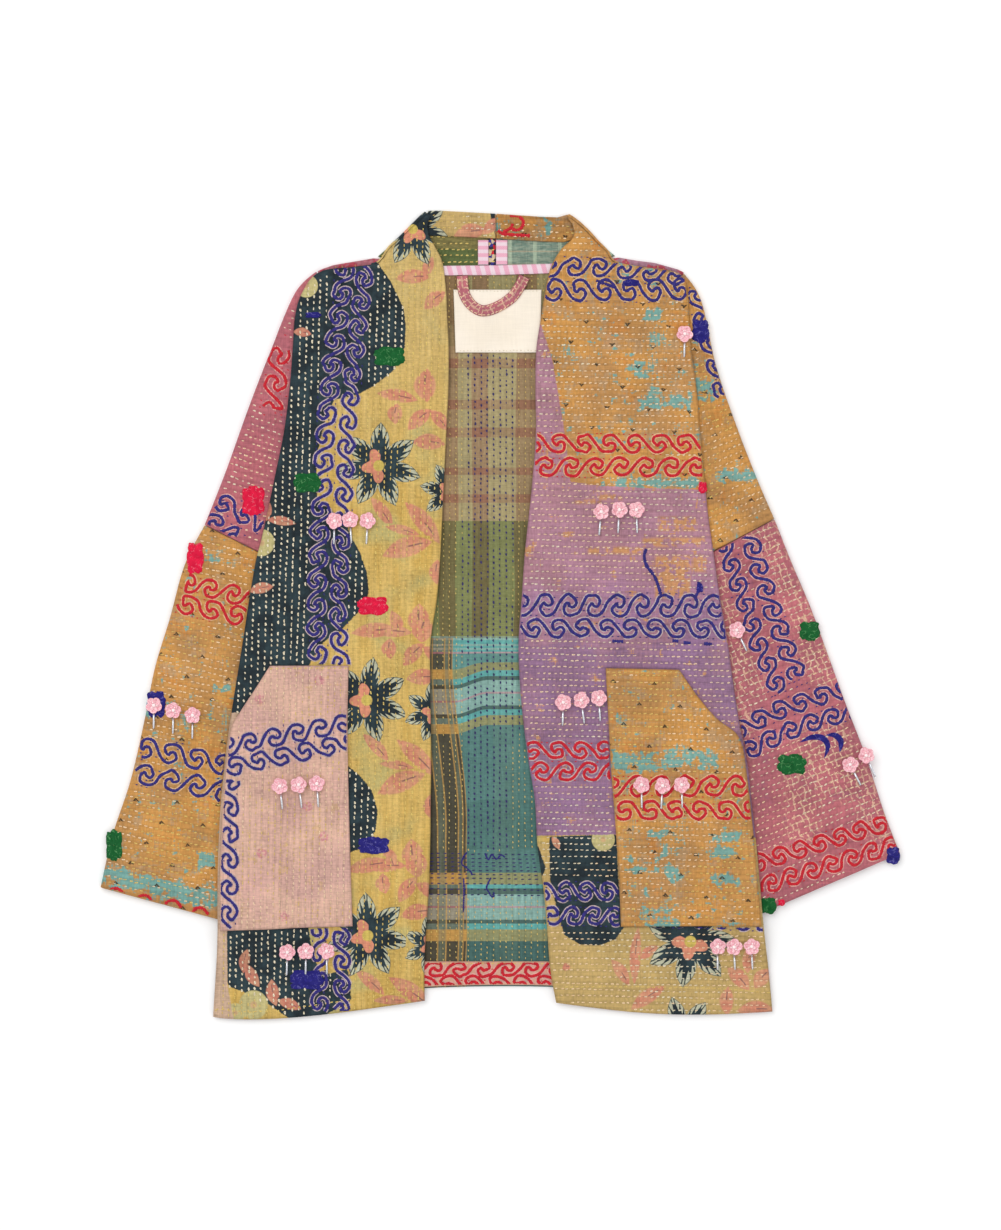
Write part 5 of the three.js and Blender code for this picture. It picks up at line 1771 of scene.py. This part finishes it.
def makeBlobs():
    batches = {name: newBatch() for name in satins}
    for surface, colour, px, py, wide, high, lobes, turn in blobs:
        (cx, cy), = spots([(px, py)])
        angles = np.linspace(0, 2 * math.pi, 48, endpoint=False)
        scallop = 0.8 + 0.2 * np.abs(np.cos(lobes * 0.5 * (angles + turn))) ** 0.6
        square = (np.cos(angles) ** 4 + np.sin(angles) ** 4) ** -0.25
        ragged = square * (1 + rng.normal(0, 0.03, len(angles)))
        rings = np.array([0.02, 0.25, 0.5, 0.72, 0.88, 0.97, 1.0])
        lift = np.array([1.15, 1.25, 1.25, 1.15, 0.95, 0.5, -0.3])
        reach = rings[:, None] * (scallop * ragged)[None]
        crease = 1 - 0.4 * rings[:, None] * (1 - np.abs(np.cos(lobes * 0.5 * (angles + turn)))[None]) ** 3
        x = cx + reach * np.cos(angles) * wide
        y = cy + reach * np.sin(angles) * high
        ground = heightOn(surface, x.ravel(), y.ravel()).reshape(x.shape)
        level = np.nanmean(ground)
        ground = np.where(np.isnan(ground), level - 1.2, ground)
        z = ground + lift[:, None] * np.where(lift[:, None] > 0, crease, 1)
        addTo(batches[colour], np.stack([x, y, z], 2), ringQuads(*x.shape)[:, [0, 3, 2, 1]])
    for colour, batch in batches.items():
        closeBatch(batch, colour + "_satin_flowers", [satins[colour]])


makeBlobs()
print("satin flowers sewn")

# Sequin flowers: surface and centre; each has five cupped sequins, a bead and a bugle for a stem.
sequinFlowers = {
    "right_front": [(335, 521), (350.5, 520), (368, 521), (288, 951), (306.5, 950), (327, 950)],
    "right_pocket": [(281, 785), (299.5, 784), (317.5, 783)],
    "right_sleeve_lower": [(155, 705), (174.5, 710), (193.6, 715)],
    "left_front": [(601, 512), (619, 510), (636, 510), (563, 702), (581, 700), (598.5, 697.5), (717, 945.5),
                   (733, 945.5), (750.5, 945), (684, 335)],
    "left_pocket": [(641, 784), (662, 785), (681, 784)],
    "left_sleeve_lower": [(736, 630), (849, 764), (865, 755)],
}
sequin = {"radius": 4.2, "ring": 4.4, "cup": 1.5, "thick": 0.3, "bead": 1.9, "bugle": 15.5, "bugleWide": 1.1,
          "edge": 7.8, "lean": {"left_sleeve_lower": 0.44}}


# A ring-by-ring turned form, closed at both ends.
def turned(radii, heights, sides, facets=0.0):
    angles = np.linspace(0, 2 * math.pi, sides, endpoint=False)
    radii, heights = np.asarray(radii, float), np.asarray(heights, float)
    ripple = 1 + facets * np.cos(angles * sides / 2)
    x = radii[:, None] * np.cos(angles) * ripple
    y = radii[:, None] * np.sin(angles) * ripple
    z = np.broadcast_to(heights[:, None], x.shape)
    return np.stack([x, y, z], 2).reshape(-1, 3), ringQuads(len(radii), sides)


def makeSequins():
    cups, beads, bugles = newBatch(), newBatch(), newBatch()
    r, cup, thick = sequin["radius"], sequin["cup"], sequin["thick"]
    cupForm = turned([0.05, r * 0.3, r * 0.62, r, r + 0.12, r, r * 0.62, r * 0.3, 0.05],
                     [-thick, -thick, cup * 0.35 - thick, cup - thick, cup - thick / 2, cup, cup * 0.35,
                      0.05, 0], 12)
    b = sequin["bead"]
    turn = np.linspace(-0.5, 0.5, 7) * math.pi
    beadForm = turned(np.maximum(np.cos(turn) * b, 0.05), np.sin(turn) * b * 0.8, 10)
    w, length = sequin["bugleWide"], sequin["bugle"]
    bugleForm = turned([0.4, w, w, 0.4], [0, 0.1, length - 0.1, length], 8)
    ring = np.linspace(0, 6.28, 7)
    for surface, places in sequinFlowers.items():
        for px, py in places:
            (cx, cy), = spots([(px, py)])
            nearX, nearY = np.append(cx + 5 * np.cos(ring), cx), np.append(cy + 5 * np.sin(ring), cy)
            level = np.nanmax(heightOn(surface, nearX, nearY))
            first = rng.uniform(0, 1.2)
            for k in range(5):
                a = first + k * 2 * math.pi / 5 + rng.normal(0, 0.06)
                tilt = -0.16 + rng.normal(0, 0.05)
                points, quads = cupForm
                p = points * rng.uniform(0.94, 1.06)
                px3 = p[:, 0] * math.cos(tilt) + p[:, 2] * math.sin(tilt)
                pz3 = p[:, 2] * math.cos(tilt) - p[:, 0] * math.sin(tilt)
                lift = 0.5 + 0.35 * (k % 2)
                x = cx + math.cos(a) * (sequin["ring"] + px3) - math.sin(a) * p[:, 1]
                y = cy + math.sin(a) * (sequin["ring"] + px3) + math.cos(a) * p[:, 1]
                addTo(cups, np.stack([x, y, level + lift + pz3 + 0.9], 1), quads)
            points, quads = beadForm
            addTo(beads, points + np.array([cx, cy, level + 2.6]), quads)
            for k in range(3):
                a = first + 1 + k * 2.1
                addTo(beads, points * 0.42 + np.array([cx + 3 * math.cos(a), cy + 3 * math.sin(a),
                                                       level + 2.7]), quads)
            lean = sequin["lean"].get(surface, 0.0) + rng.normal(0, 0.06)
            points, quads = bugleForm
            reach = points[:, 2] + sequin["edge"]
            x = cx + points[:, 0] * math.cos(lean) + reach * math.sin(lean)
            y = cy + points[:, 0] * math.sin(lean) - reach * math.cos(lean)
            drop = heightOn(surface, np.array([cx]), np.array([cy - 14.0]))[0]
            z = (level if math.isnan(drop) else drop) + w + 0.2 + points[:, 1]
            addTo(bugles, np.stack([x, y, z], 1), quads)
    closeBatch(cups, "cup_sequins", [gloss["sequin"]])
    closeBatch(beads, "centre_beads", [gloss["bead"]])
    closeBatch(bugles, "bugle_stems", [gloss["bugle"]])


makeSequins()
print("sequins and beads sewn")

# Loose thread strokes and the stitched hems.
strokes = {
    "left_front": ("navy", [
        [(646, 549), (644, 556), (646, 565), (651, 572), (655, 578), (658, 586), (661, 596)],
        [(612, 641), (623, 641.5)], [(672, 640.5), (678, 641)], [(683, 642.5), (690, 643)],
        [(703, 643.5), (711, 644)], [(698, 582), (697, 592), (694, 597)],
        [(596, 281), (604, 284), (614, 288)],
    ]),
    "back_panel": ("navy", [
        [(467, 852), (463, 858), (462, 864), (467, 868), (471, 872), (472, 875)],
        [(463.6, 878), (464, 890), (463.4, 912)],
        [(485, 853), (488.4, 859.4), (491.8, 854.3), (496.4, 858.9), (501, 854.8), (505, 857)],
        [(491, 877.5), (488, 883), (486.5, 888), (489, 892), (491, 896), (494, 896), (493.5, 892)],
    ]),
    "left_collar_turn": ("red", [
        [(510, 215.5), (518.6, 217), (523.2, 222), (521.7, 228), (516.3, 230.8), (511.5, 228.3),
         (513, 224.5)],
        [(498, 231), (502, 234), (510, 235.2), (520, 235.8), (530, 236.3)],
        [(511, 228.5), (506, 231.5), (503, 232.5)],
    ]),
    "right_sleeve_lower": ("red", [
        [(108, 893), (112, 889), (119, 888), (125, 894)],
        [(137, 901), (141, 895.5), (148, 895), (153, 900.5)],
        [(165, 906), (169, 900.5), (177, 900.5), (182, 907)],
        [(193, 913), (197, 907.5), (204, 908), (209, 914)],
    ]),
}
crescents = [
    [(799, 742), (811, 737), (822, 738), (827, 746), (823.5, 758)],
    [(825, 735), (834, 735), (840, 741), (839, 752)],
]


def makeStrokes():
    batches = {"navy": newBatch(), "red": newBatch()}
    for surface, (thread, lines) in strokes.items():
        profile = scroll["fine" if surface == "back_panel" else "cord"]
        for line in lines:
            path, at = evenPath(spots(line), 0.9)
            layRibbon(batches[thread], surface, path, at, profile, coveredBy.get(surface, ()), wave=0.2)
    for thread, batch in batches.items():
        closeBatch(batch, thread + "_loose_strokes", [threads[thread]])
    moons = newBatch()
    for line in crescents:
        path, at = evenPath(spots(line), 0.9)
        layRibbon(moons, "left_sleeve_lower", path, at,
                  [(-3.4, -0.3), (-2.4, 0.8), (0, 1.2), (2.4, 0.8), (3.4, -0.3)], taper=0.8)
    closeBatch(moons, "satin_crescents", [satins["navy"]])


# Straight rows along hems and edges: thread, then the surface and line of each row, then period, length and
# width of its stitches.
edgeRows = {
    "hem_stitches": ("yellow", [
        ("left_front", [(566, 986), (640, 986), (720, 988), (768, 992)]),
        ("right_front", [(218, 1008), (262, 1011), (330, 1002), (424, 988)]),
        ("right_pocket", [(272.5, 668), (346, 668)]),
        ("left_pocket", [(608, 672), (676, 672)]),
        ("back_hem_turn", [(412, 963), (564, 963)]),
    ], (5.4, 3.2, 1.1)),
    "inside_rows": ("indigo", [
        ("back_panel", [(432, y), (533 + 0.14 * (y - 853), y + 1.5)])
        for y in (853, 857.5, 861.5, 865.5, 869.5, 873.5, 877.5, 883, 888.5, 894)
    ], (6.6, 3.9, 1.2)),
    "loop_stitches": ("peach", [
        ("hanging_loop", np.array(loop["path"]) + leftOf(np.array(loop["path"])) * aside)
        for aside in (-4.3, 4.3)
    ], (4.2, 3.0, 0.9)),
    "label_stitches": ("cream", [
        ("neck_label", [(455.5, 291.5), (540, 291.5)]), ("neck_label", [(457, 351), (538.5, 351)]),
    ], (3.4, 2.2, 0.6)),
}


def sewEdges():
    for name, (thread, rows, size) in edgeRows.items():
        batch = newBatch()
        for surface, line in rows:
            sewLine(batch, surface, line if surface == "hanging_loop" else spots(line), *size)
        closeBatch(batch, name, [threads[thread]])


makeStrokes()
sewEdges()
print("hems sewn")
# The pale floor, the soft light and the camera, straight above.
studio = {
    "floorSize": 9.0,
    "floorDrop": 0.0003,
    "world": 0.85,
    "key": {"energy": 46.0, "size": 2.6, "place": (-1.5, 1.6, 3.0)},
    "fill": {"energy": 10.0, "size": 3.0, "place": (1.8, -1.2, 3.2)},
    "camera": {"place": (0.0005, 0.0, 2.904), "lens": 85.0, "sensor": 36.0},
}


def addToScene(name, data, place=(0, 0, 0)):
    made = bpy.data.objects.new(name, data)
    made.location = place
    bpy.context.scene.collection.objects.link(made)
    return made


def makeStudio():
    half, drop = studio["floorSize"] / 2, studio["floorDrop"]
    mesh = bpy.data.meshes.new("floor_sheet")
    rim = [(-half, -half, -drop), (half, -half, -drop), (half, half, -drop), (-half, half, -drop)]
    mesh.from_pydata(rim, [], [(0, 1, 2, 3)])
    floor = addToScene("floor_sheet", mesh)
    material = bpy.data.materials.new("paperFloor")
    material.use_nodes = True
    building["tree"] = material.node_tree
    spread = noise(put("TexCoord").outputs["Object"], 2.0, 3.0)
    fill(material.node_tree.nodes["Principled BSDF"],
         {"Base Color": over(spread, dye(253, 253, 253), dye(250, 250, 250)), "Roughness": 0.9})
    mesh.materials.append(material)
    world = bpy.context.scene.world = bpy.data.worlds.new("studio")
    world.use_nodes = True
    fill(world.node_tree.nodes["Background"], {0: (1, 1, 1, 1), 1: studio["world"]})
    for name in ("key", "fill"):
        look = studio[name]
        lamp = bpy.data.lights.new(name, "AREA")
        lamp.energy, lamp.size = look["energy"], look["size"]
        held = addToScene(name, lamp, look["place"])
        held.rotation_euler = (-Vector(look["place"])).to_track_quat("-Z", "Y").to_euler()
    camera = bpy.data.cameras.new("camera")
    camera.lens = studio["camera"]["lens"]
    camera.sensor_width = studio["camera"]["sensor"]
    camera.clip_end = 50
    bpy.context.scene.camera = addToScene("camera", camera, studio["camera"]["place"])
    bpy.context.scene.view_settings.view_transform = "Standard"
    bpy.context.scene.view_settings.look = "None"


makeStudio()
print("studio set")
